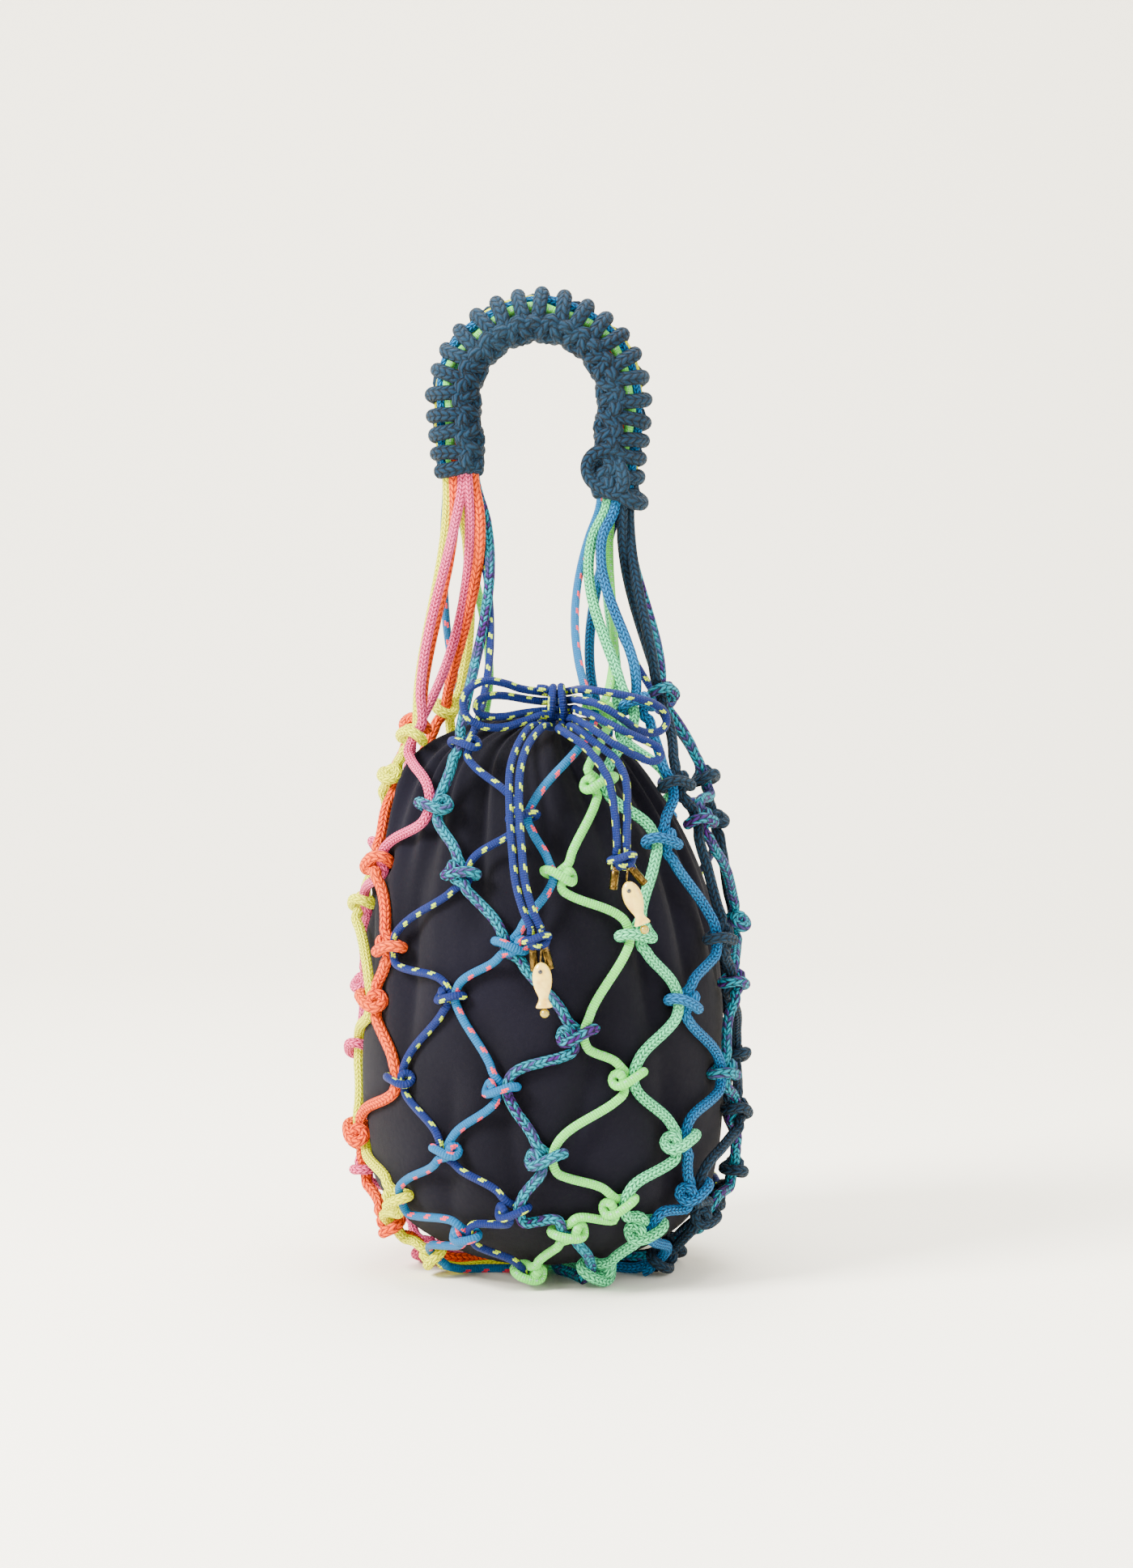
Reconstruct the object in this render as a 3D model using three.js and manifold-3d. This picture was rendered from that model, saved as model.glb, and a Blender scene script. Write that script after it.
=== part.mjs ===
// A macrame bag: a dark drawstring pouch held in a net of twenty knotted cords,
// whose ends run up into a handle wrapped in square knots.
// Millimetres, +Z up, the front faces -Y, origin on the floor under the net's gather.

import * as THREE from "three";
import { mergeVertices } from "three/addons/utils/BufferGeometryUtils.js";
import Module from "manifold-3d";

const wasm = await Module();
wasm.setup();

// Driving dimensions
const BAG_HEIGHT = 450;
const CLEARANCE = 0.3;

const KNIT_CORD = 5.4;
const BRAID_CORD = 4.2;
const CORD_FLAT = 0.5;
const CORD_SIDES = 5;

const POUCH_HEIGHT = 246;
const POUCH_RADIUS = 80.5;
const POUCH_WALL = 1.6;
const POUCH_SEGMENTS = 32;
const PLEAT_DEPTH = 1.5;
const FOLD_DEPTH = 1;

const NET_STANDOFF = 8.2;
const STRAND_SAG = 1.3;
const NET_RISE = 14;
const NET_COLUMNS = 10;
const KNOT_REACH = 7;
const KNOT_SWELL = 1.15;
const KNOT_PROUD = 0.6;
const GATHER_RADIUS = 12;

const HANDLE_OFFSET = -4.5;
const HANDLE_SPAN = 78;
const HANDLE_DIAMETER = 26;
const HANDLE_GROOVE = 2.2;
const HANDLE_PITCH = 11.2;
const HANDLE_KNOTS_LEFT = 8;
const HANDLE_KNOTS_RIGHT = 9;
const HANDLE_SPLAY = 5;
const HANDLE_SIDES = 8;
const CORE_DIAMETER = 16;
const BUNDLE_LENGTH = 4;
const CARRY_STEPS = 4;

const DRAWSTRING = 3.6;
const DRAWSTRING_SIDES = 7;
const DRAWSTRING_STEP = 10.5;
const BOW_KNOT = { width: 13, height: 18, depth: 11 };
const TAIL_KNOT = { width: 11, height: 8, depth: 8 };

const TIP_DIAMETER = 3.8;
const TIP_BORE = 2.6;
const TIP_LENGTH = 10.5;
const RING_RADIUS = 2.6;
const RING_WIRE = 0.9;
const RING_TUCK = 0.85;
const FISH = { length: 20, width: 8.6, depth: 5 };
const BEAD_DIAMETER = 4;

// What follows from them
const BASE_HEIGHT = KNIT_CORD - CORD_FLAT;
const POUCH_LIFT = BASE_HEIGHT + CLEARANCE;
const NET_RADIUS = POUCH_RADIUS + NET_STANDOFF;
const NET_HEIGHT = POUCH_LIFT + POUCH_HEIGHT + NET_RISE;
const ARCH_RADIUS = HANDLE_SPAN / 2;
const ARCH_HEIGHT = BAG_HEIGHT - HANDLE_DIAMETER / 2 - ARCH_RADIUS;
const HANDLE_START = -(HANDLE_KNOTS_LEFT + 0.5) * HANDLE_PITCH;
const HANDLE_END = (HANDLE_KNOTS_RIGHT + 0.5) * HANDLE_PITCH;

const CORD_KINDS = {
  yellow: { color: 0xd7eb3c, diameter: KNIT_CORD },
  pink: { color: 0xf57da5, diameter: KNIT_CORD },
  orange: { color: 0xf55a1e, diameter: KNIT_CORD },
  dark_teal: { color: 0x28556e, diameter: KNIT_CORD },
  teal_purple: { color: 0x1e8ca0, diameter: KNIT_CORD },
  bright_blue: { color: 0x0082c8, diameter: KNIT_CORD },
  mint: { color: 0x7de6b4, diameter: KNIT_CORD },
  light_green: { color: 0x8ce18c, diameter: BRAID_CORD },
  blue_yellow: { color: 0x2850b4, diameter: BRAID_CORD },
  cyan_pink: { color: 0x1496c3, diameter: BRAID_CORD },
};

// The twenty cords in the order of the net's lanes, from the front left round to the right.
const LANES = [
  "yellow", "pink", "teal_purple", "blue_yellow", "cyan_pink",
  "light_green", "mint", "bright_blue", "dark_teal", "teal_purple",
  "dark_teal", "blue_yellow", "mint", "bright_blue", "light_green",
  "cyan_pink", "yellow", "orange", "pink", "orange",
];

// Where each lane's cord enters the handle: side, then its place across and in depth in the bundle.
const HANDLE_PLACES = [
  { lane: 0, side: "left", across: -0.75, depth: -0.3 },
  { lane: 1, side: "left", across: 0.1, depth: -0.8 },
  { lane: 2, side: "left", across: 0.85, depth: 0.55 },
  { lane: 3, side: "left", across: 0.45, depth: 0.1 },
  { lane: 14, side: "left", across: -0.2, depth: 0.9 },
  { lane: 15, side: "left", across: -0.85, depth: 0.5 },
  { lane: 16, side: "left", across: -0.05, depth: 0.3 },
  { lane: 17, side: "left", across: 0.8, depth: -0.5 },
  { lane: 18, side: "left", across: 0.45, depth: -0.9 },
  { lane: 19, side: "left", across: -0.35, depth: -0.6 },
  { lane: 4, side: "right", across: -0.9, depth: -0.1 },
  { lane: 5, side: "right", across: -0.15, depth: -0.3 },
  { lane: 6, side: "right", across: -0.5, depth: -0.7 },
  { lane: 7, side: "right", across: 0, depth: -0.95 },
  { lane: 8, side: "right", across: 0.85, depth: -0.3 },
  { lane: 9, side: "right", across: 0.7, depth: 0.5 },
  { lane: 10, side: "right", across: 0.45, depth: -0.8 },
  { lane: 11, side: "right", across: 0.35, depth: 0.2 },
  { lane: 12, side: "right", across: -0.25, depth: 0.5 },
  { lane: 13, side: "right", across: 0.1, depth: 0.95 },
];

// The net's rows of knots from the top down, each from the front left round to the right.
// angle: in degrees from the front towards +X. height: as a share of the net's height. The knots
// left out of both are evenly spaced round the back. ties: a letter for each of the ten knots,
// for which cord makes it, the one from the left or from the right, in lower case where the two
// cords cross and in upper case where they turn back.
const NET_ROWS = [
  {
    row: "A", ties: "LRRRRRLRLR",
    angle: [-74, -35, 23, 44, 73, 112, 152, 214, 234, 260],
    height: [0.925, 0.917, 0.974, 0.981, 1, 0.97, 0.93, 0.92, 0.965, 0.94],
  },
  {
    row: "B", ties: "rRLLRRLRLL",
    angle: [-88, -43, -8, 19, 52, 90, 128, 175, 212, 245],
    height: [0.853, 0.815, 0.804, 0.857, 0.849, 0.85, 0.83, 0.81, 0.82, 0.84],
  },
  { row: "C", ties: "llRRRLRLRL", angle: [-69, -27, 3, 39, 62], height: [0.713, 0.709, 0.709, 0.758, 0.785] },
  { row: "D", ties: "lLrRRLLRRL", angle: [-88, -54, -11, 26, 62], height: [0.634, 0.577, 0.596, 0.608, 0.589] },
  { row: "E", ties: "RLLRrLRLLR", angle: [-65, -29, 9, 43, 74], height: [0.483, 0.506, 0.449, 0.491, 0.506] },
  { row: "F", ties: "LRLLRRLRLL", angle: [-90, -49, -13, 24, 64], height: [0.381, 0.358, 0.358, 0.374, 0.358] },
  { row: "G", ties: "rrLLrLRRLR", angle: [-80, -31, 0, 42, 77], height: [0.245, 0.249, 0.245, 0.26, 0.283] },
  { row: "H", ties: "LLLLLRLRRL", angle: [-90, -53, -10, 22, 50], height: [0.17, 0.151, 0.155, 0.162, 0.17] },
  { row: "I", ties: "LLrLLLRLRL", angle: [-76, -28, 6, 34, 64], height: [0.083, 0.102, 0.117, 0.113, 0.113] },
  { row: "J", ties: "LLRRRRLRLR", angle: [-92, -60, -9, 21, 62], height: [0.028, 0.038, 0.034, 0.034, 0.03] },
];

// The net's outline, as shares of its height and radius.
const NET_PROFILE = [
  { height: 0, radius: 0.57 },
  { height: 0.035, radius: 0.67 },
  { height: 0.083, radius: 0.84 },
  { height: 0.15, radius: 0.955 },
  { height: 0.23, radius: 1 },
  { height: 0.6, radius: 0.985 },
  { height: 0.717, radius: 0.93 },
  { height: 0.83, radius: 0.835 },
  { height: 0.906, radius: 0.755 },
  { height: 0.955, radius: 0.68 },
  { height: 1, radius: 0.61 },
];

// The pouch's outline from its floor to the gathered mouth, as shares of its height and radius.
// lean is how far the ring sits towards -X, as a share of the radius.
const POUCH_PROFILE = [
  { height: 0, radius: 0, lean: 0 },
  { height: 0.004, radius: 0.42, lean: 0 },
  { height: 0.03, radius: 0.6, lean: 0 },
  { height: 0.075, radius: 0.79, lean: 0 },
  { height: 0.14, radius: 0.93, lean: 0 },
  { height: 0.24, radius: 1, lean: 0 },
  { height: 0.536, radius: 0.995, lean: 0 },
  { height: 0.686, radius: 0.94, lean: 0.03 },
  { height: 0.804, radius: 0.81, lean: 0.06 },
  { height: 0.93, radius: 0.58, lean: 0.11 },
  { height: 0.97, radius: 0.44, lean: 0.1 },
  { height: 0.995, radius: 0.31, lean: 0.05 },
  { height: 1.008, radius: 0.22, lean: 0.02 },
  { height: 1.004, radius: 0.1, lean: 0 },
];

// The drawstring's routes, from the bow's knot outwards: across (X), depth (Y) and height (Z).
const BOW_CENTRE = [4.4, -38, 261.5];
const BOW_LOOPS = {
  bow_loop_left_outer: [
    [-3, -38, 266.6], [-12, -43.5, 268.2], [-20, -49.5, 271], [-28, -54.5, 272], [-35, -57.5, 268.5],
    [-37.5, -58, 262.5], [-35.5, -57.5, 256], [-29, -55.5, 252], [-20, -51, 251.4], [-11, -47.5, 253.8],
    [-3.4, -45.5, 256.4],
  ],
  bow_loop_left_inner: [
    [-3, -38, 262.4], [-11, -41.5, 263.4], [-20, -46.5, 265], [-27, -50.5, 264.4], [-30.8, -52.5, 261],
    [-28, -52, 257.4], [-20, -48.5, 256.4], [-11, -43.5, 257.8], [-3.4, -40.5, 258.2],
  ],
  bow_loop_right_outer: [
    [11.6, -40, 267.5], [13.6, -50, 268.2], [19, -59, 268.2], [29, -62, 266.8], [40, -59.5, 264.4],
    [48, -54.5, 261], [52.5, -51, 256.4], [51, -51.5, 250.8], [46, -55, 248.6], [39.5, -61, 251],
    [31, -67, 257], [22, -66.5, 262.2], [13.5, -55, 263.6], [11.8, -43, 263.6],
  ],
  bow_loop_right_lower: [
    [11.8, -40, 259.4], [13.4, -52, 259], [19, -66, 257.6], [29, -71.5, 252.2], [38, -69, 247.6],
    [45, -66, 243.8], [49.5, -64.5, 240.6], [47, -67.5, 237.1], [40, -71.5, 239.3], [29, -75.5, 245.4],
    [19, -71, 252.2], [13, -58, 254.8], [11.6, -46, 255.2],
  ],
};
const TAILS = {
  tail_left_a: [
    [-2.4, -41, 251.6], [-8, -55, 251.4], [-13, -66, 244.5], [-16.4, -74.5, 234], [-16.6, -81.5, 218],
    [-15.4, -88, 200], [-13.8, -93, 186], [-10.4, -95.5, 174], [-7, -96, 166.6],
  ],
  tail_left_b: [
    [1.8, -42, 251], [-2.6, -57, 251.6], [-8.6, -67.5, 244.5], [-12, -76, 234], [-12.4, -83, 218],
    [-11.2, -89.5, 200], [-9.6, -94.5, 186], [-6.2, -96.5, 174], [-2.9, -96.5, 166.6],
  ],
  tail_right_a: [
    [6.4, -43, 251.4], [4.8, -56, 250.8], [7.6, -66, 249.6], [16.6, -75, 243.6], [26, -82.5, 231],
    [29, -85.5, 217],
    [30, -87.5, 206], [30.2, -88.5, 200.8],
  ],
  tail_right_b: [
    [10.4, -42, 251.6], [9.6, -53, 251.8], [13, -65, 251], [21.4, -73.5, 245], [30, -77, 238],
    [34, -80.5, 229.5], [34.6, -84, 218], [34.4, -87, 208], [34.3, -88.4, 200.8],
  ],
};
const TAIL_KNOTS = {
  tail_knot_left: [-4.8, -96.4, 162],
  tail_knot_right: [32.2, -88.6, 196.2],
};
const TIPS = {
  tip_left_a: { knot: "tail_knot_left", across: -1.6, drop: 4, turn: 4 },
  tip_left_b: { knot: "tail_knot_left", across: 3.4, drop: 3.5, turn: 14 },
  tip_right_a: { knot: "tail_knot_right", across: 3.4, drop: 3.5, turn: 40 },
  tip_right_b: { knot: "tail_knot_right", across: -2.6, drop: 3.5, turn: -6 },
};
const HUNG_DEPTH = 2.8;
const CHARMS = {
  left: { knot: "tail_knot_left", across: 2, lean: 4 },
  right: { knot: "tail_knot_right", across: 2.2, lean: 20 },
};

// A path whose stations are the given points themselves, one for each step.
class StationPath extends THREE.Curve {
  constructor(stations) {
    super();
    this.stations = stations;
  }
  getPoint(t) {
    const last = this.stations.length - 1;
    const index = Math.min(Math.floor(t * last + 1e-6), last - 1);
    return this.stations[index].clone().lerp(this.stations[index + 1], t * last - index);
  }
  getPointAt(u) {
    return this.getPoint(u);
  }
  getTangentAt(u) {
    const last = this.stations.length - 1;
    const index = Math.round(u * last);
    const before = this.stations[Math.max(index - 1, 0)];
    const here = this.stations[index];
    const after = this.stations[Math.min(index + 1, last)];
    const arriving = here.clone().sub(before).normalize();
    return arriving.add(after.clone().sub(here).normalize()).normalize();
  }
}

// A regular polygon with the area of a circle of the radius.
function roundSection(radius, sides) {
  return polygon(radius / sectionFill(sides), sides);
}

function sectionFill(sides) {
  return Math.sqrt((sides * Math.sin((2 * Math.PI) / sides)) / (2 * Math.PI));
}

function polygon(radius, sides) {
  const corners = [];
  for (let i = 0; i < sides; i += 1) {
    const angle = ((i + 0.5) * 2 * Math.PI) / sides;
    corners.push(new THREE.Vector2(radius * Math.cos(angle), radius * Math.sin(angle)));
  }
  return new THREE.Shape(corners);
}

function weld(geometry) {
  geometry.deleteAttribute("normal");
  geometry.deleteAttribute("uv");
  return mergeVertices(geometry, 1e-4);
}

// A tube of flat sides along stations, with each ring scaled by its swell.
function tube(stations, radius, sides, swells = []) {
  const geometry = weld(
    new THREE.ExtrudeGeometry(roundSection(radius, sides), {
      steps: stations.length - 1,
      extrudePath: new StationPath(stations),
    }),
  );
  const position = geometry.attributes.position;
  const corner = new THREE.Vector3();
  for (let i = 0; i < position.count; i += 1) {
    corner.fromBufferAttribute(position, i);
    const ring = nearestStation(stations, corner);
    const swell = swells[ring] ?? 1;
    corner.sub(stations[ring]).multiplyScalar(swell).add(stations[ring]);
    position.setXYZ(i, corner.x, corner.y, corner.z);
  }
  return geometry;
}

function nearestStation(stations, corner) {
  let nearest = 0;
  stations.forEach((station, i) => {
    if (station.distanceToSquared(corner) < stations[nearest].distanceToSquared(corner)) nearest = i;
  });
  return nearest;
}

function solid(geometry) {
  return new wasm.Manifold(
    new wasm.Mesh({
      numProp: 3,
      vertProperties: new Float32Array(geometry.attributes.position.array),
      triVerts: new Uint32Array(geometry.index.array),
    }),
  );
}

function joined(geometries) {
  return geometries.map(solid).reduce((sum, piece) => sum.add(piece));
}

function geometryOf(manifold) {
  const mesh = manifold.getMesh();
  const geometry = new THREE.BufferGeometry();
  geometry.setAttribute("position", new THREE.BufferAttribute(mesh.vertProperties, 3));
  geometry.setIndex(new THREE.BufferAttribute(mesh.triVerts, 1));
  geometry.computeVertexNormals();
  return geometry;
}

function named(name, geometry, color, roughness, metalness = 0) {
  const material = new THREE.MeshStandardMaterial({ color, roughness, metalness });
  const mesh = new THREE.Mesh(geometry, material);
  mesh.name = name;
  return mesh;
}

// A table's value at a height between its rows.
function share(table, column, height) {
  const above = table.findIndex((row) => row.height >= height);
  if (above <= 0) return table[above < 0 ? table.length - 1 : 0][column];
  const low = table[above - 1];
  const high = table[above];
  const part = (height - low.height) / (high.height - low.height);
  return low[column] + part * (high[column] - low[column]);
}

function vector(point) {
  return new THREE.Vector3(...point);
}

// The pouch
function pouchProfile() {
  const outer = POUCH_PROFILE.map(
    (row) => new THREE.Vector2(row.radius * POUCH_RADIUS, POUCH_LIFT + row.height * POUCH_HEIGHT),
  );
  const inner = outer.map((point, i) => {
    const before = outer[Math.max(i - 1, 0)];
    const after = outer[Math.min(i + 1, outer.length - 1)];
    const along = after.clone().sub(before).normalize();
    const inset = new THREE.Vector2(-along.y, along.x).multiplyScalar(POUCH_WALL);
    const x = i === 0 ? 0 : Math.max(point.x + inset.x, POUCH_WALL);
    return new THREE.Vector2(x, point.y + inset.y);
  });
  return [...outer, ...inner.reverse()];
}

// Gathers close together at the neck, fading into a few broad folds.
function foldDepth(angle, height, radius) {
  const neck = THREE.MathUtils.smoothstep(height, 0.72, 0.97);
  const lip = THREE.MathUtils.smoothstep(radius, 8, 24);
  const pleat = PLEAT_DEPTH * Math.cos((angle * POUCH_SEGMENTS) / 2);
  const broad = FOLD_DEPTH * (Math.cos(5 * angle + 1) + 0.6 * Math.cos(8 * angle + 3 * height)) / 1.6;
  return lip * (neck * pleat + (1 - neck) * broad);
}

function pouch() {
  const geometry = weld(new THREE.LatheGeometry(pouchProfile(), POUCH_SEGMENTS));
  geometry.rotateX(Math.PI / 2);
  const position = geometry.attributes.position;
  for (let i = 0; i < position.count; i += 1) {
    const x = position.getX(i);
    const y = position.getY(i);
    const height = (position.getZ(i) - POUCH_LIFT) / POUCH_HEIGHT;
    const radius = Math.hypot(x, y);
    const angle = Math.atan2(y, x);
    const grown = radius < 1 ? radius : radius + foldDepth(angle, height, radius);
    const lean = share(POUCH_PROFILE, "lean", height) * POUCH_RADIUS;
    position.setX(i, grown * Math.cos(angle) - lean);
    position.setY(i, grown * Math.sin(angle));
  }
  return geometry;
}

// The net
function netPoint(degrees, height) {
  const angle = THREE.MathUtils.degToRad(degrees);
  const radius = NET_RADIUS * share(NET_PROFILE, "radius", height);
  return new THREE.Vector3(radius * Math.sin(angle), -radius * Math.cos(angle), height * NET_HEIGHT);
}

// The ten knots of a row: those in the table, and the rest spaced evenly round the back.
function rowKnots({ angle, height }) {
  const known = angle.length;
  const hidden = NET_COLUMNS - known;
  const knots = [];
  for (let column = 0; column < NET_COLUMNS; column += 1) {
    const part = (column - known + 1) / (hidden + 1);
    const turn = column < known ? angle[column] : angle[known - 1] + part * (360 + angle[0] - angle[known - 1]);
    const rise = column < known ? height[column] : height[known - 1] + part * (height[0] - height[known - 1]);
    knots.push(netPoint(turn, rise));
  }
  return knots;
}

// Each cord's way down the net: the knots it passes, the side it comes from, whether it makes
// the knot, and whether the two cords cross there.
function cordWays() {
  const ways = LANES.map(() => []);
  const cordOnLane = LANES.map((_, lane) => lane);
  const lanes = LANES.length;
  NET_ROWS.forEach((row, level) => {
    const knots = rowKnots(row);
    const bottom = level === NET_ROWS.length - 1;
    knots.forEach((point, column) => {
      const left = (2 * column - (level % 2) + lanes) % lanes;
      const right = (left + 1) % lanes;
      const letter = row.ties[column];
      const crosses = letter === letter.toLowerCase();
      const leftTies = letter.toUpperCase() === "L";
      ways[cordOnLane[left]].push({ point, side: -1, ties: leftTies, crosses, bottom });
      ways[cordOnLane[right]].push({ point, side: 1, ties: !leftTies, crosses, bottom });
      if (crosses) [cordOnLane[left], cordOnLane[right]] = [cordOnLane[right], cordOnLane[left]];
    });
  });
  return ways;
}

function sideways(point, side, distance) {
  const tangent = new THREE.Vector3(-point.y, point.x, 0).normalize();
  return point.clone().addScaledVector(tangent, side * distance);
}

function stepTowards(from, to, distance) {
  return from.clone().addScaledVector(to.clone().sub(from).normalize(), distance);
}

function handleEnd(side) {
  return handlePoint(side === "left" ? HANDLE_START : HANDLE_END);
}

// Where a cord passes its knot: the one that makes it in front of the other, a clearance apart,
// and side by side at the bottom, where the cords turn in under the pouch.
function knotStation({ point, side, ties, crosses, bottom }) {
  if (bottom) return sideways(point, side, pairSpread());
  const outward = new THREE.Vector3(point.x, point.y, 0).normalize();
  const apart = wideRadius(KNIT_CORD) * (1 + KNOT_SWELL) + 5 * CLEARANCE;
  const depth = ties ? apart * KNOT_PROUD : -apart * (1 - KNOT_PROUD);
  const spread = crosses ? 0 : KNIT_CORD / 4;
  return sideways(point, side, spread).addScaledVector(outward, depth);
}

// The corner radius of a cord's section.
function wideRadius(diameter) {
  return diameter / 2 / sectionFill(CORD_SIDES);
}

// Half the width that a cord keeps to itself beside its partner.
function pairSpread() {
  return wideRadius(KNIT_CORD) + 2 * CLEARANCE;
}

// A cord's start above its top knot, beside the cord that shares the knot.
function cordTop(way, side) {
  const top = stepTowards(way[0].point, handleEnd(side).point, KNOT_REACH);
  return sideways(top, way[0].side, pairSpread());
}

// A cord's end below its bottom knot, beside its partner.
function cordFoot(last) {
  const foot = stepTowards(last.point, baseStart(last.point), KNOT_REACH);
  return sideways(foot, last.side, pairSpread());
}

// The middle of a strand on the net's round, where a straight strand would cut too far inside it.
function strandMiddle(from, to) {
  const middle = from.clone().add(to).divideScalar(2);
  const radius = (Math.hypot(from.x, from.y) + Math.hypot(to.x, to.y)) / 2;
  const flat = Math.hypot(middle.x, middle.y);
  if (radius - flat < STRAND_SAG) return [];
  return [new THREE.Vector3((middle.x * radius) / flat, (middle.y * radius) / flat, middle.z)];
}

// A cord's stations: one at each knot, swollen where it ties, and one on long strands between.
function netCord(way, radius, side) {
  const stations = [cordTop(way, side)];
  const swells = [1];
  way.forEach((knot, i) => {
    stations.push(knotStation(knot));
    swells.push(knot.ties && !knot.bottom ? KNOT_SWELL : 1);
    if (i + 1 === way.length) return;
    strandMiddle(knot.point, way[i + 1].point).forEach((middle) => {
      stations.push(middle);
      swells.push(1);
    });
  });
  stations.push(cordFoot(way[way.length - 1]));
  swells.push(1);
  return tube(stations, radius, CORD_SIDES, swells);
}

// Where the cords of a bottom knot reach the floor on their way to the gather.
function baseStart(point) {
  const height = KNIT_CORD / 2 - CORD_FLAT;
  return new THREE.Vector3(point.x, point.y, 0).multiplyScalar(0.72).setZ(height);
}

function floorCutter() {
  const size = 4 * NET_RADIUS;
  const block = weld(new THREE.BoxGeometry(size, size, size).translate(0, 0, -size / 2));
  return solid(block);
}

// The cords' run under the pouch, in flat pairs from the bottom knots to the gather.
function netBase() {
  const last = NET_ROWS[NET_ROWS.length - 1];
  const hub = weld(new THREE.CylinderGeometry(GATHER_RADIUS, GATHER_RADIUS, BASE_HEIGHT, 2 * NET_COLUMNS));
  hub.rotateX(Math.PI / 2).translate(0, 0, BASE_HEIGHT / 2);
  const spokes = rowKnots(last).map((point) => {
    const floor = baseStart(point);
    const start = stepTowards(point, floor, KNOT_REACH + 3 * CLEARANCE);
    const end = floor.clone().setZ(0).setLength(GATHER_RADIUS / 2).setZ(floor.z);
    return pairBar([start, floor, end]);
  });
  return geometryOf(joined([hub, ...spokes]).subtract(floorCutter()));
}

// Two cords side by side as one flat bar along stations.
function pairBar(stations) {
  const bar = tube(stations, KNIT_CORD / 2, 4);
  const along = stations[stations.length - 1].clone().sub(stations[0]).setZ(0).normalize();
  const across = new THREE.Vector3(-along.y, along.x, 0);
  const position = bar.attributes.position;
  const corner = new THREE.Vector3();
  for (let i = 0; i < position.count; i += 1) {
    corner.fromBufferAttribute(position, i);
    const centre = stations[nearestStation(stations, corner)];
    corner.addScaledVector(across, across.dot(corner.clone().sub(centre)));
    position.setXYZ(i, corner.x, corner.y, corner.z);
  }
  return bar;
}

// The handle's centreline at a distance from the crown, negative to the left.
function handlePoint(distance) {
  const quarter = (Math.PI / 2) * ARCH_RADIUS;
  const sign = Math.sign(distance);
  const bend = Math.min(Math.abs(distance), quarter) / ARCH_RADIUS;
  const along = new THREE.Vector3(sign * Math.cos(bend), 0, -Math.sin(bend));
  const point = new THREE.Vector3(sign * Math.sin(bend), 0, Math.cos(bend)).multiplyScalar(ARCH_RADIUS);
  const straight = Math.abs(distance) - quarter;
  if (straight > 0) {
    const splay = THREE.MathUtils.degToRad(HANDLE_SPLAY);
    along.set(-sign * Math.sin(splay), 0, -Math.cos(splay));
    point.addScaledVector(along, straight);
  }
  point.x += HANDLE_OFFSET;
  point.z += ARCH_HEIGHT;
  return { point, along };
}

function handleStations(extra) {
  const distances = [HANDLE_START - extra];
  for (let knot = -HANDLE_KNOTS_LEFT; knot < HANDLE_KNOTS_RIGHT; knot += 1) {
    distances.push((knot + 0.5) * HANDLE_PITCH);
  }
  distances.push(HANDLE_END + extra);
  return distances.map((distance) => handlePoint(distance).point);
}

function handleCore() {
  return tube(handleStations(0), CORE_DIAMETER / 2, HANDLE_SIDES);
}

// A sleeve with a ridge for each square knot and a groove between knots.
function handleWrap() {
  const stations = [handlePoint(HANDLE_START).point];
  const swells = [1];
  const groove = 1 - HANDLE_GROOVE / (HANDLE_DIAMETER / 2);
  for (let knot = -HANDLE_KNOTS_LEFT; knot <= HANDLE_KNOTS_RIGHT; knot += 1) {
    stations.push(handlePoint((knot - 0.28) * HANDLE_PITCH).point);
    stations.push(handlePoint((knot + 0.28) * HANDLE_PITCH).point);
    stations.push(handlePoint((knot + 0.5) * HANDLE_PITCH).point);
    swells.push(1, 1, groove);
  }
  swells[0] = groove;
  const outer = solid(tube(stations, HANDLE_DIAMETER / 2, HANDLE_SIDES, swells));
  const bore = solid(tube(handleStations(1), CORE_DIAMETER / 2 + 1.5 * CLEARANCE, HANDLE_SIDES));
  return geometryOf(outer.subtract(bore));
}

// The ten cords on one side, from their top knots to the bundle under the handle.
function carryCords(ways, side) {
  const { point: end, along } = handleEnd(side);
  const across = new THREE.Vector3().crossVectors(along, new THREE.Vector3(0, 1, 0)).normalize();
  if (across.x < 0) across.negate();
  const spread = (0.95 * CORE_DIAMETER) / 2;
  const bundleTop = end.clone().addScaledVector(along, CLEARANCE);
  const bundleFoot = bundleTop.clone().addScaledVector(along, BUNDLE_LENGTH);
  const cords = HANDLE_PLACES.filter((place) => place.side === side).map((place) => {
    const way = ways[place.lane];
    const radius = CORD_KINDS[LANES[place.lane]].diameter / 2;
    const netTop = cordTop(way, side);
    const leaving = netTop.clone().sub(knotStation(way[0])).normalize();
    const start = netTop.clone().addScaledVector(leaving, CLEARANCE);
    const finish = bundleFoot.clone().addScaledVector(across, place.across * spread);
    finish.y += place.depth * spread;
    const reach = start.distanceTo(finish) / 3;
    const foot = start.clone().addScaledVector(leaving, radius);
    const curve = new THREE.CubicBezierCurve3(
      foot,
      foot.clone().addScaledVector(leaving, reach),
      finish.clone().addScaledVector(along, reach),
      finish,
    );
    const stations = [start, ...curve.getPoints(CARRY_STEPS)];
    stations.push(finish.clone().addScaledVector(along, -BUNDLE_LENGTH));
    return tube(stations, radius, CORD_SIDES);
  });
  const binding = tube([bundleTop, bundleFoot], CORE_DIAMETER / 2, HANDLE_SIDES);
  return geometryOf(joined([binding, ...cords]));
}

// The drawstring and what hangs on it
function cordRoute(points) {
  const curve = new THREE.CatmullRomCurve3(points.map(vector), false, "centripetal");
  const steps = Math.round(curve.getLength() / DRAWSTRING_STEP);
  return new THREE.ExtrudeGeometry(polygon(DRAWSTRING / 2, DRAWSTRING_SIDES), { steps, extrudePath: curve });
}

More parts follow.
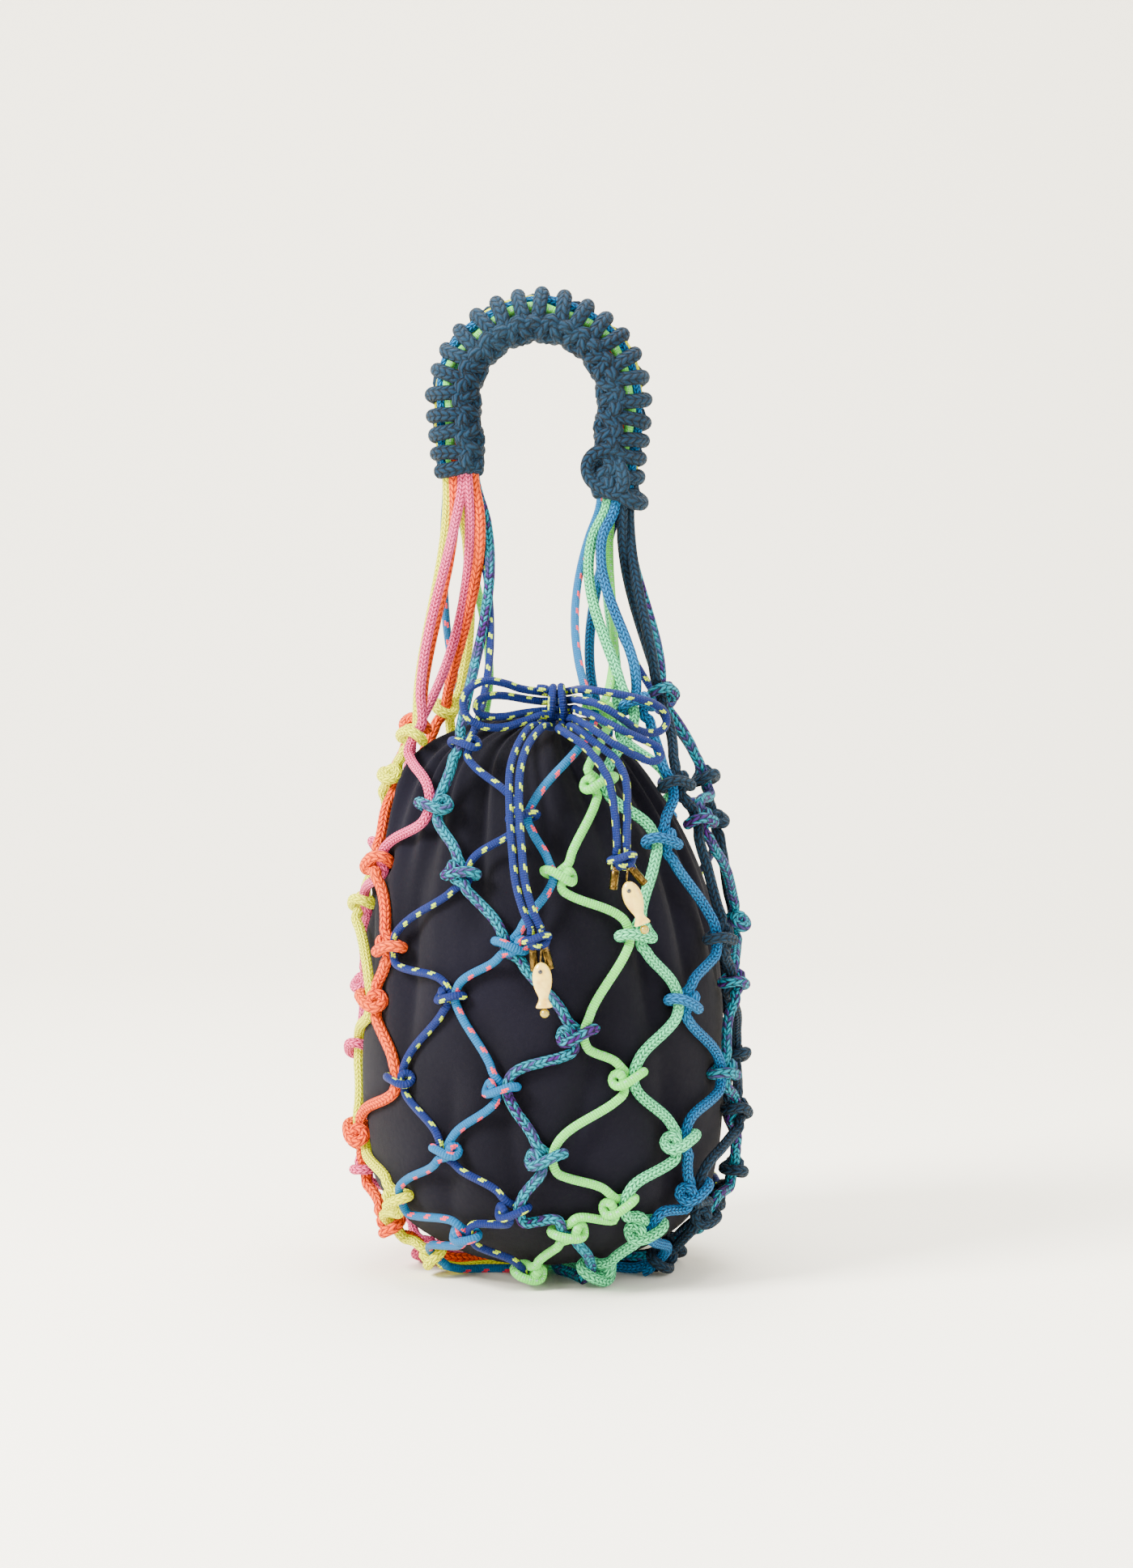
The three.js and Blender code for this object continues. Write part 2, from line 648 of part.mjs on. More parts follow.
function knotBall({ width, height, depth }, centre) {
  const ball = new THREE.SphereGeometry(0.5, 8, 6);
  ball.rotateX(Math.PI / 2).scale(width, depth, height);
  return weld(ball).translate(...centre);
}

function tip({ knot, across, drop, turn }) {
  const [x, y, z] = TAIL_KNOTS[knot];
  const profile = [
    [TIP_BORE / 2, 0],
    [TIP_DIAMETER / 2, 0],
    [TIP_DIAMETER / 2, TIP_LENGTH],
    [TIP_BORE / 2, TIP_LENGTH],
    [TIP_BORE / 2, 0],
  ].map(([radius, height]) => new THREE.Vector2(radius, height));
  const geometry = new THREE.LatheGeometry(profile, 8);
  geometry.rotateX(Math.PI / 2).translate(0, 0, -TIP_LENGTH);
  geometry.rotateY(THREE.MathUtils.degToRad(-turn));
  return geometry.translate(x + across, y + HUNG_DEPTH, z - drop);
}

function ringCentre({ knot, across }) {
  const [x, y, z] = TAIL_KNOTS[knot];
  const below = TAIL_KNOT.height / 2 - RING_TUCK + RING_RADIUS + RING_WIRE / 2 + CLEARANCE;
  return new THREE.Vector3(x + across, y - HUNG_DEPTH, z - below);
}

function ring(charm) {
  const geometry = new THREE.TorusGeometry(RING_RADIUS, RING_WIRE / 2, 5, 12);
  geometry.rotateX(Math.PI / 2).rotateZ(Math.PI / 2);
  const { x, y, z } = ringCentre(charm);
  return geometry.translate(x, y, z);
}

// A rounded body narrowing to a tail that flares again, flattened front to back.
function fishOutline() {
  const half = FISH.width / 2;
  const outline = [
    { along: 0, across: 0.22 },
    { along: 0.06, across: 0.62 },
    { along: 0.2, across: 0.95 },
    { along: 0.42, across: 1 },
    { along: 0.66, across: 0.68 },
    { along: 0.78, across: 0.5 },
    { along: 0.97, across: 0.8 },
    { along: 1, across: 0.62 },
  ];
  const points = outline.map(({ along, across }) => new THREE.Vector2(across * half, -along * FISH.length));
  return [new THREE.Vector2(0, 0), ...points, new THREE.Vector2(0, -FISH.length)];
}

function charmTop(charm) {
  const centre = ringCentre(charm);
  centre.z -= RING_RADIUS + RING_WIRE / 2 + CLEARANCE;
  return centre;
}

function hung(geometry, charm) {
  const { x, y, z } = charmTop(charm);
  return geometry.rotateY(THREE.MathUtils.degToRad(-charm.lean)).translate(x, y, z);
}

function fish(charm) {
  const geometry = new THREE.LatheGeometry(fishOutline().reverse(), 10);
  geometry.rotateX(Math.PI / 2).scale(1, FISH.depth / FISH.width, 1);
  return hung(geometry, charm);
}

function bead(charm) {
  const geometry = new THREE.SphereGeometry(BEAD_DIAMETER / 2, 10, 5);
  geometry.rotateX(Math.PI / 2).translate(0, 0, -FISH.length - CLEARANCE - BEAD_DIAMETER / 2);
  return hung(geometry, charm);
}

function drawstring(group) {
  const cloth = [0x2850b4, 0.8];
  for (const [name, points] of Object.entries({ ...BOW_LOOPS, ...TAILS })) {
    group.add(named(name, cordRoute(points), ...cloth));
  }
  group.add(named("bow_knot", knotBall(BOW_KNOT, BOW_CENTRE), ...cloth));
  for (const [name, centre] of Object.entries(TAIL_KNOTS)) {
    group.add(named(name, knotBall(TAIL_KNOT, centre), ...cloth));
  }
  for (const [name, place] of Object.entries(TIPS)) {
    group.add(named(name, tip(place), 0xaa823c, 0.35, 1));
  }
  for (const [side, charm] of Object.entries(CHARMS)) {
    group.add(named(`charm_ring_${side}`, ring(charm), 0xaa823c, 0.3, 1));
    group.add(named(`fish_${side}`, fish(charm), 0xfae1a5, 0.3));
    group.add(named(`bead_${side}`, bead(charm), 0xebcd1e, 0.3));
  }
}

function bag() {
  const group = new THREE.Group();
  group.name = "macrame_bag";
  const ways = cordWays();
  group.add(named("pouch", pouch(), 0x1c1b2a, 0.9));
  ways.forEach((way, lane) => {
    const { color, diameter } = CORD_KINDS[LANES[lane]];
    const place = HANDLE_PLACES.find((row) => row.lane === lane);
    const geometry = netCord(way, diameter / 2, place.side);
    group.add(named(`net_cord_${lane + 1}`, geometry, color, 0.8));
  });
  group.add(named("net_base", netBase(), 0x7de6b4, 0.8));
  group.add(named("carry_cords_left", carryCords(ways, "left"), 0xf57da5, 0.8));
  group.add(named("carry_cords_right", carryCords(ways, "right"), 0x0082c8, 0.8));
  group.add(named("handle_core", handleCore(), 0x8ce18c, 0.8));
  group.add(named("handle_wrap", handleWrap(), 0x28556e, 0.85));
  drawstring(group);
  return group;
}

export default bag();
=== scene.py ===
import math
import random

import bpy
import numpy as np
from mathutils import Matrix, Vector
from mathutils.kdtree import KDTree


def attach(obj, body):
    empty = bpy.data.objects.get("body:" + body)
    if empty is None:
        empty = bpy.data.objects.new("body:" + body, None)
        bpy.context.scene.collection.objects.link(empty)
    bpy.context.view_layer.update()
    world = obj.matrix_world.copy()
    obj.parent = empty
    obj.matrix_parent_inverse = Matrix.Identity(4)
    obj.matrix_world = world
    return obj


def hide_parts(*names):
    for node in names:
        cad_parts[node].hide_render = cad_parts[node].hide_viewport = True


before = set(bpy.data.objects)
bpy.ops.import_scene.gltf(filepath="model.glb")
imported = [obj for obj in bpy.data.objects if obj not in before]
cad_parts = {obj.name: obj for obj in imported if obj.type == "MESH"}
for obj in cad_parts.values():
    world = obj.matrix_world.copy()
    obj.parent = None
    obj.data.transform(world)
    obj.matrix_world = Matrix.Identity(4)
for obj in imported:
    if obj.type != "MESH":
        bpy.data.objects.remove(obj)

random.seed(7)
rng = np.random.default_rng(7)
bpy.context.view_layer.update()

MM = 0.001
TINY = 1e-6


def add_object(name, data):
    added = bpy.data.objects.new(name, data)
    bpy.context.scene.collection.objects.link(added)
    return added


# Camera, looking a little down at the front
CAMERA_X = 8.2
CAMERA_DISTANCE = 1500
CAMERA_HEIGHT = 315
AIM_HEIGHT = 223
camera_data = bpy.data.cameras.new("camera")
camera_data.lens = 75
camera_data.sensor_width = 36
camera_data.sensor_fit = "AUTO"
camera = add_object("camera", camera_data)
camera.location = (CAMERA_X * MM, -CAMERA_DISTANCE * MM, CAMERA_HEIGHT * MM)
target = Vector((CAMERA_X * MM, 0, AIM_HEIGHT * MM))
camera.rotation_euler = (target - camera.location).to_track_quat("-Z", "Y").to_euler()
bpy.context.scene.camera = camera


# Lines and tubes, in millimetres
SPLINE_PARTS = 14
CAP_BULGE = 0.45
CAP_UV = 0.1


def between(t, low, high, a, b):
    return (high - t) / (high - low) * a + (t - low) / (high - low) * b


def smooth_line(points, step):
    """A centripetal spline through the points, with a point every step along it."""
    p = np.array(points, float)
    p = np.vstack([2 * p[0] - p[1], p, 2 * p[-1] - p[-2]])
    fine = []
    for i in range(1, len(p) - 2):
        near = p[i - 1 : i + 3]
        t = [0.0]
        for gap in np.diff(near, axis=0):
            t.append(t[-1] + max(np.linalg.norm(gap), TINY) ** 0.5)
        for at in np.linspace(t[1], t[2], SPLINE_PARTS, endpoint=False):
            a = [between(at, t[k], t[k + 1], near[k], near[k + 1]) for k in range(3)]
            b = [between(at, t[k], t[k + 2], a[k], a[k + 1]) for k in range(2)]
            fine.append(between(at, t[1], t[2], *b))
    fine.append(p[-2])
    return even_line(np.array(fine), step)


def distances_along(line):
    return np.concatenate([[0], np.cumsum(np.linalg.norm(np.diff(line, axis=0), axis=1))])


def even_line(line, step):
    """The same line with its points a step apart."""
    along = distances_along(line)
    count = max(int(round(along[-1] / step)), 3)
    at = np.linspace(0, along[-1], count + 1)
    return np.stack([np.interp(at, along, line[:, k]) for k in range(3)], axis=1)


def line_length(line):
    return float(np.linalg.norm(np.diff(line, axis=0), axis=1).sum())


def tube_parts(line, radius, sides, first):
    """Corners, faces and face UVs of a closed tube: u round it and v along it in centimetres."""
    n = len(line)
    tangents = np.gradient(line, axis=0)
    tangents /= np.linalg.norm(tangents, axis=1)[:, None]
    side = np.cross(tangents[0], [0.13, 0.2, 1.0])
    side /= np.linalg.norm(side)
    sides_at = []
    for t in tangents:
        side = side - t * side.dot(t)
        side /= np.linalg.norm(side)
        sides_at.append(side)
    sides_at = np.array(sides_at)
    ups = np.cross(tangents, sides_at)
    turn = np.arange(sides) * 2 * math.pi / sides
    cos, sin = np.cos(turn)[None, :, None], np.sin(turn)[None, :, None]
    ring = line[:, None, :] + radius * (cos * sides_at[:, None, :] + sin * ups[:, None, :])
    along = distances_along(line) / 10
    i, j = np.meshgrid(np.arange(n - 1), np.arange(sides), indexing="ij")
    i, j = i.ravel(), j.ravel()
    k = (j + 1) % sides
    here, above = i * sides + first, (i + 1) * sides + first
    faces = np.stack([here + j, here + k, above + k, above + j], axis=1)
    u0, u1 = j / sides, (j + 1) / sides
    v0, v1 = along[i], along[i + 1]
    uvs = np.stack([u0, v0, u1, v0, u1, v1, u0, v1], axis=1).reshape(-1, 4, 2)
    faces = [tuple(f) for f in faces]
    uvs = list(uvs)
    corners = np.vstack([
        ring.reshape(-1, 3),
        line[0] - tangents[0] * radius * CAP_BULGE,
        line[-1] + tangents[-1] * radius * CAP_BULGE,
    ])
    low, high = n * sides + first, n * sides + 1 + first
    last = (n - 1) * sides + first
    end = along[-1]
    for a in range(sides):
        b = (a + 1) % sides
        u0, u1 = a / sides, (a + 1) / sides
        faces.append((first + b, first + a, low))
        uvs.append(np.array([[u1, 0], [u0, 0], [u0, -CAP_UV]]))
        faces.append((last + a, last + b, high))
        uvs.append(np.array([[u0, end], [u1, end], [u0, end + CAP_UV]]))
    return corners, faces, uvs


def mesh_piece(name, corners, faces, uvs, material):
    mesh = bpy.data.meshes.new(name)
    mesh.from_pydata([tuple(c) for c in np.asarray(corners) * MM], [], faces)
    layer = mesh.uv_layers.new(name="UVMap")
    flat_uvs = np.concatenate([np.asarray(f, float).reshape(-1, 2) for f in uvs])
    layer.data.foreach_set("uv", flat_uvs.ravel())
    mesh.polygons.foreach_set("use_smooth", [True] * len(mesh.polygons))
    mesh.materials.append(material)
    piece = add_object(name, mesh)
    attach(piece, "root")
    return piece


def tube_piece(name, lines, radii, sides, material):
    corners, faces, uvs = [], [], []
    first = 0
    for line, radius in zip(lines, radii):
        c, f, uv = tube_parts(line, radius, sides, first)
        corners.append(c)
        faces += f
        uvs += uv
        first += len(c)
    return mesh_piece(name, np.vstack(corners), faces, uvs, material)


# Materials. Lengths along a cord and over the cloth are in centimetres.
MIX_SHARE, MIX_A, MIX_B, MIX_RESULT = 0, 6, 7, 2


class Nodes:
    """A material's nodes, written as sums."""

    def __init__(self, name):
        self.material = bpy.data.materials.new(name)
        self.material.use_nodes = True
        self.tree = self.material.node_tree
        self.shader = self.tree.nodes["Principled BSDF"]
        self.coordinates = self.new("ShaderNodeTexCoord")

    def new(self, kind, inputs=(), **values):
        """A node of this kind, with its inputs set or linked by name or number."""
        node = self.tree.nodes.new(kind)
        for key, value in values.items():
            setattr(node, key, value)
        for key, value in dict(inputs).items():
            self.link(value, node.inputs[key])
        return node

    def link(self, value, socket):
        if isinstance(value, bpy.types.NodeSocket):
            self.tree.links.new(value, socket)
        else:
            socket.default_value = value

    def math(self, operation, *values):
        return self.new("ShaderNodeMath", enumerate(values), operation=operation).outputs[0]

    def mix(self, share, a, b):
        inputs = {MIX_SHARE: share, MIX_A: a, MIX_B: b}
        return self.new("ShaderNodeMix", inputs, data_type="RGBA").outputs[MIX_RESULT]

    def ramp(self, value, low, high):
        inputs = {"Value": value, "From Min": low, "From Max": high}
        node = self.new("ShaderNodeMapRange", inputs, interpolation_type="SMOOTHSTEP")
        return node.outputs["Result"]

    def band(self, value, rise, fall):
        """1 between the two ramps and 0 outside them."""
        after = self.math("SUBTRACT", 1.0, self.ramp(value, *fall))
        return self.math("MULTIPLY", self.ramp(value, *rise), after)

    def wave(self, value, pitch):
        return self.math("SINE", self.math("MULTIPLY", value, 2 * math.pi / pitch))

    def noise(self, scale, detail):
        inputs = {"Vector": self.coordinates.outputs["Object"], "Scale": scale, "Detail": detail}
        return self.new("ShaderNodeTexNoise", inputs).outputs["Fac"]

    def uv(self):
        parts = self.new("ShaderNodeSeparateXYZ", {"Vector": self.coordinates.outputs["UV"]})
        return parts.outputs["X"], parts.outputs["Y"]

    def shade(self, inputs):
        for key, value in inputs.items():
            self.link(value, self.shader.inputs[key])

    # The base colour, and an emission of that colour that is painted light: it brightens the
    # surface whatever the lamps.
    def color_and_painted_light(self, color, painted_glow):
        self.shade({"Base Color": color, "Emission Color": color, "Emission Strength": painted_glow})

    def bump(self, height, distance, strength=1.0):
        inputs = {"Distance": distance, "Strength": strength, "Height": height}
        self.shade({"Normal": self.new("ShaderNodeBump", inputs).outputs["Normal"]})


def linear(rgb):
    """A colour of the screen, 0 to 255, as linear light with full cover."""
    out = []
    for v in rgb:
        c = v / 255
        out.append(c / 12.92 if c <= 0.04045 else ((c + 0.055) / 1.055) ** 2.4)
    return (*out, 1.0)


STITCH_LEAN = 1.5
STITCH_WOBBLE = 0.5
STITCH_ROUNDNESS = 0.55
LEG_DEPTH = 0.62
FLECK_LEVEL = 1.12
FADING = 0.16
FADED_BY = 45
KNIT_FUZZ = 0.2
KNIT_RELIEF = 0.0016
KNIT_SURFACE = {
    "Roughness": 0.75, "Sheen Weight": 0.02, "Sheen Roughness": 0.45, "Specular IOR Level": 0.14,
}


CORDS = {}


def knit(kind, color, hollow_shade, fleck=None, columns=6, pitch=0.21, painted_glow=0.0):
    """Knitted cord: columns of V stitches, with painted shade in the hollows between them. glow is
    painted light: an emission that brightens the cord whatever the lamps, standing in for the
    yarn's fluorescence.
    """
    n = Nodes("cord_" + kind)
    CORDS[kind] = n.material
    u, v = n.uv()
    column = n.math("MULTIPLY", u, float(columns))
    off_centre = n.math("ABSOLUTE", n.math("SUBTRACT", n.math("FRACT", column), 0.5))
    row = n.math("ADD", n.math("DIVIDE", v, pitch), n.math("MULTIPLY", off_centre, STITCH_LEAN))
    wobble = n.math("MULTIPLY", n.noise(scale=900.0, detail=1.0), STITCH_WOBBLE)
    stitch = n.math("FRACT", n.math("ADD", row, wobble))
    along = n.math("POWER", n.math("SINE", n.math("MULTIPLY", stitch, math.pi)), STITCH_ROUNDNESS)
    legs = n.math("MULTIPLY", column, 2.0)
    leg = n.math("SINE", n.math("MULTIPLY", n.math("FRACT", legs), math.pi))
    height = n.math("MULTIPLY", along, n.math("MULTIPLY_ADD", leg, LEG_DEPTH, 1 - LEG_DEPTH))
    thread = linear(color)
    if fleck:
        corner = {"X": n.math("FLOOR", legs), "Y": n.math("FLOOR", row)}
        inputs = {"Vector": n.new("ShaderNodeCombineXYZ", corner).outputs["Vector"]}
        chance = n.new("ShaderNodeTexWhiteNoise", inputs, noise_dimensions="2D").outputs["Value"]
        patches = n.noise(scale=60.0, detail=1.0)
        flecked = n.math("GREATER_THAN", n.math("ADD", chance, patches), FLECK_LEVEL)
        thread = n.mix(flecked, thread, linear(fleck))
    # Painted shade: the stitches' hollows take the darker colour, as if in shadow.
    shaded = n.mix(n.ramp(height, low=0.16, high=0.84), linear(hollow_shade), thread)
    tone = n.ramp(n.noise(scale=35.0, detail=2.0), low=0.35, high=0.75)
    faded = linear([min(255, c + FADED_BY) for c in color])
    shaded = n.mix(n.math("MULTIPLY", tone, FADING), shaded, faded)
    n.color_and_painted_light(shaded, painted_glow)
    n.shade(KNIT_SURFACE)
    fuzz = n.noise(scale=5200.0, detail=2.0)
    n.bump(n.math("MULTIPLY_ADD", fuzz, KNIT_FUZZ, height), KNIT_RELIEF)


WEAVE_STRANDS = 10
WEAVE_PITCH = 0.22
# How much of the painted shade in the weave's hollows shows
WEAVE_SHADE_SHARE = 0.6
DASH_COLUMNS = 10.0
DASH_SHIFT = 0.1
DASH_RAGGED = 0.12
DASH_ENDS = (0.1, 0.14), (0.38, 0.42)
DASH_EDGES = (0.02, 0.14), (0.86, 0.98)
TRACERS = 3.0
TRACER_HALF_WIDTH = 0.1
TRACER_PITCH = 0.3
TRACER_COVER = 0.6
BRAID_FUZZ = 0.3
BRAID_RELIEF = 0.0005
BRAID_SURFACE = {"Roughness": 0.55, "Specular IOR Level": 0.22}


def braid(kind, color, hollow_shade, fleck=None, repeat=0.92, tracer=None, painted_glow=0.0):
    """Smooth braided cord: a fine diamond weave with painted shade in its hollows, and dashes or
    thin lines of another colour. glow is painted light, as for the knitted cords.
    """
    n = Nodes("cord_" + kind)
    CORDS[kind] = n.material
    u, v = n.uv()
    around = n.math("MULTIPLY", u, 2 * math.pi * WEAVE_STRANDS)
    along = n.math("MULTIPLY", v, 2 * math.pi / WEAVE_PITCH)
    one = n.math("SINE", n.math("ADD", around, along))
    two = n.math("SINE", n.math("SUBTRACT", around, along))
    height = n.math("MULTIPLY_ADD", n.math("MULTIPLY", one, two), 0.5, 0.5)
    thread = linear(color)
    if fleck:
        columns = n.math("MULTIPLY", u, DASH_COLUMNS)
        index = n.math("FLOOR", columns)
        shift = n.math("MULTIPLY", index, DASH_SHIFT)
        place = n.math("FRACT", n.math("ADD", n.math("DIVIDE", v, repeat), shift))
        uneven = n.math("SUBTRACT", n.noise(scale=1800.0, detail=1.0), 0.5)
        dash = n.band(n.math("MULTIPLY_ADD", uneven, DASH_RAGGED, place), *DASH_ENDS)
        paired = n.math("LESS_THAN", n.math("MODULO", index, 5.0), 1.5)
        inside = n.band(n.math("FRACT", columns), *DASH_EDGES)
        shown = n.math("MULTIPLY", n.math("MULTIPLY", dash, paired), inside)
        thread = n.mix(shown, thread, linear(fleck))
    if tracer:
        off_centre = n.math("SUBTRACT", n.math("FRACT", n.math("MULTIPLY", u, TRACERS)), 0.5)
        line = n.math("LESS_THAN", n.math("ABSOLUTE", off_centre), TRACER_HALF_WIDTH)
        broken = n.ramp(n.wave(v, TRACER_PITCH), low=0.2, high=0.5)
        shown = n.math("MULTIPLY", n.math("MULTIPLY", line, broken), TRACER_COVER)
        thread = n.mix(shown, thread, linear(tracer))
    # Painted shade: the weave's hollows take the darker colour, as if in shadow, mixed in by the
    # share set above.
    shaded = n.mix(n.ramp(height, low=0.1, high=0.55), linear(hollow_shade), thread)
    shaded = n.mix(WEAVE_SHADE_SHARE, thread, shaded)
    n.color_and_painted_light(shaded, painted_glow)
    n.shade(BRAID_SURFACE)
    fuzz = n.noise(scale=4200.0, detail=2.0)
    n.bump(n.math("MULTIPLY_ADD", fuzz, BRAID_FUZZ, height), BRAID_RELIEF)


knit("yellow", (255, 255, 10), (168, 176, 0), pitch=0.22, columns=5, painted_glow=0.32)
knit("pink", (255, 92, 146), (140, 0, 38), pitch=0.2, columns=5, painted_glow=0.22)
knit("orange", (255, 84, 0), (150, 20, 0), pitch=0.29, columns=4, painted_glow=0.2)
knit("dark_teal", (8, 40, 62), (0, 2, 6), pitch=0.29, columns=4)
knit("teal_purple", (0, 130, 152), (0, 6, 18), (62, 10, 98), pitch=0.28, columns=4, painted_glow=0.12)
knit("bright_blue", (0, 104, 164), (0, 8, 30), pitch=0.23, columns=5, painted_glow=0.14)
knit("mint", (92, 234, 156), (8, 84, 46), pitch=0.22, columns=5, painted_glow=0.12)
braid("light_green", (110, 220, 92), (44, 136, 44), tracer=(176, 186, 200), painted_glow=0.1)
braid("blue_yellow", (0, 28, 96), (0, 4, 34), (212, 246, 10))
braid("cyan_pink", (0, 98, 150), (0, 34, 66), (255, 50, 70), repeat=1.0, painted_glow=0.1)
# In mm, measured from the photo
CORD_DIAMETERS = {
    "light_green": 4.0, "blue_yellow": 3.6, "cyan_pink": 3.8, "pink": 4.6, "yellow": 4.8,
    "orange": 5.1, "dark_teal": 4.9, "teal_purple": 4.8, "bright_blue": 4.8, "mint": 4.9,
}


CLOTH_PITCH = 0.055
CLOTH_SURFACE = {
    "Roughness": 0.9, "Sheen Weight": 0.03, "Sheen Roughness": 0.5, "Specular IOR Level": 0.12,
}


def cloth_material():
    n = Nodes("pouch_cloth")
    u, v = n.uv()
    crossing = n.math("MULTIPLY", n.wave(u, CLOTH_PITCH), n.wave(v, CLOTH_PITCH))
    weave = n.math("MULTIPLY_ADD", crossing, 0.5, 0.5)
    slub = n.noise(scale=420.0, detail=3.0)
    tone = n.ramp(n.noise(scale=14.0, detail=2.0), low=0.4, high=0.8)
    # Painted shade: the cloth is darker in the weave's hollows, as if in shadow.
    color = n.mix(n.ramp(weave, low=0.2, high=0.8), linear((2, 2, 6)), linear((9, 7, 21)))
    color = n.mix(n.math("MULTIPLY", tone, 0.3), color, linear((15, 12, 30)))
    n.shade({"Base Color": color, **CLOTH_SURFACE})
    n.bump(n.math("MULTIPLY_ADD", weave, 0.5, slub), distance=0.0003, strength=0.8)
    return n.material


def brass_material():
    n = Nodes("brass")
    tarnish = n.ramp(n.noise(scale=700.0, detail=3.0), low=0.4, high=0.75)
    n.shade({
        "Base Color": n.mix(tarnish, linear((98, 76, 34)), linear((52, 38, 15))),
        "Metallic": 1.0,
        "Roughness": n.math("MULTIPLY_ADD", tarnish, 0.2, 0.24),
    })
    n.bump(n.noise(scale=2400.0, detail=2.0), distance=0.00004, strength=0.5)
    return n.material


def glaze_material(name, color, deep):
    n = Nodes(name)
    cloud = n.ramp(n.noise(scale=260.0, detail=3.0), low=0.35, high=0.75)
    n.shade({
        "Base Color": n.mix(cloud, linear(color), linear(deep)),
        "Roughness": 0.22,
        "Coat Weight": 0.6,
        "Coat Roughness": 0.08,
        "Subsurface Weight": 0.03,
        "Subsurface Radius": (0.002, 0.001, 0.0006),
    })
    n.bump(n.noise(scale=900.0, detail=2.0), distance=0.0001, strength=0.5)
    return n.material


CLOTH = cloth_material()
BRASS = brass_material()
FISH_GLAZE = glaze_material("fish_glaze", (234, 200, 88), (206, 160, 58))
BEAD_GLAZE = glaze_material("bead_glaze", (158, 134, 0), (130, 106, 0))
EYE_GLAZE = glaze_material("eye_glaze", (16, 14, 14), (30, 26, 24))

# The drawstring, whose routes are those of the CAD nodes of the same names, in mm
DRAWSTRING_DIAMETER = 0.0036
DRAWSTRING_RADIUS = DRAWSTRING_DIAMETER / MM / 2
THIN_SIDES = 14
CORD_SIDES = 16
DRAWSTRING_STEP = 1.0
BOW_LOOPS = {
    "bow_loop_left_outer": [
        (-3, -38, 266.6), (-12, -43.5, 268.2), (-20, -49.5, 271), (-28, -54.5, 272),
        (-35, -57.5, 268.5), (-37.5, -58, 262.5), (-35.5, -57.5, 256), (-29, -55.5, 252),
        (-20, -51, 251.4), (-11, -47.5, 253.8), (-3.4, -45.5, 256.4),
    ],
    "bow_loop_left_inner": [
        (-3, -38, 262.4), (-11, -41.5, 263.6), (-19.5, -46.2, 265.2), (-26.2, -49.9, 265.2),
        (-30.3, -52, 263.6), (-31.8, -52.7, 260.6), (-30.3, -52.2, 257.6), (-26.2, -50.8, 256.2),
        (-19.2, -48.2, 256.1), (-11, -43.5, 257.4), (-3.4, -40.5, 258.2),
    ],
    "bow_loop_right_outer": [
        (11.6, -40, 267.5), (13.6, -50, 268.2), (19, -59, 268.2), (29, -62, 266.8),
        (40, -59.5, 264.4), (47.5, -54.8, 261.6), (51.8, -51.5, 258), (52.7, -51, 254),
        (50.8, -52.2, 250.5), (46, -55.8, 249), (39.5, -61, 250.8), (31, -67, 257),
        (22, -66.5, 262.2), (13.5, -55, 263.6), (11.8, -43, 263.6),
    ],
    "bow_loop_right_lower": [
        (11.8, -40, 259.4), (13.4, -52, 259), (19, -66, 257.6), (29, -71.5, 252.6),
        (38, -69.5, 248.4), (44.8, -66.5, 245.2), (48.8, -64.8, 242.5), (49.8, -64.8, 239.5),
        (47.8, -66.4, 237.4), (44.2, -69, 237.5), (39, -71.5, 239.6), (29, -75.2, 245.2),
        (19, -71, 252), (13, -58, 254.8), (11.6, -46, 255.2),
    ],
}
TAILS = {
    "tail_left_a": [
        (-2.4, -41, 251.6), (-8, -55, 251.4), (-13, -66, 244.5), (-16.4, -74.5, 234),
        (-16.6, -81.5, 218), (-15.4, -88, 200), (-13.8, -93, 186), (-10.4, -95.5, 174),
        (-7, -96, 166.6),
    ],
    "tail_left_b": [
        (1.8, -42, 251), (-2.6, -57, 251.6), (-8.6, -67.5, 244.5), (-12, -76, 234),
        (-12.4, -83, 218), (-11.2, -89.5, 200), (-9.6, -94.5, 186), (-6.2, -96.5, 174),
        (-2.9, -96.5, 166.6),
    ],
    "tail_right_a": [
        (6.4, -43, 251.4), (4.8, -56, 250.8), (7.6, -66, 249.6), (16.6, -75, 243.6),
        (26, -82.5, 231), (29, -85.5, 217), (30, -87.5, 206), (30.2, -88.5, 200.8),
    ],
    "tail_right_b": [
        (10.4, -42, 251.6), (9.6, -53, 251.8), (13, -65, 251), (21.4, -73.5, 245), (30, -77, 238),
        (34, -80.5, 229.5), (34.6, -84, 218), (34.4, -87, 208), (34.3, -88.4, 200.8),
    ],
}
TAIL_KNOTS = {"left": (-4.8, -96.4, 162.0), "right": (32.2, -88.6, 196.2)}

drawstring_lines = {}
for name, route in {**BOW_LOOPS, **TAILS}.items():
    line = smooth_line(route, DRAWSTRING_STEP)
    drawstring_lines[name] = line
    material = CORDS["blue_yellow"]
    piece = tube_piece(name + "_cord", [line], [DRAWSTRING_RADIUS], THIN_SIDES, material)
    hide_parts(name)


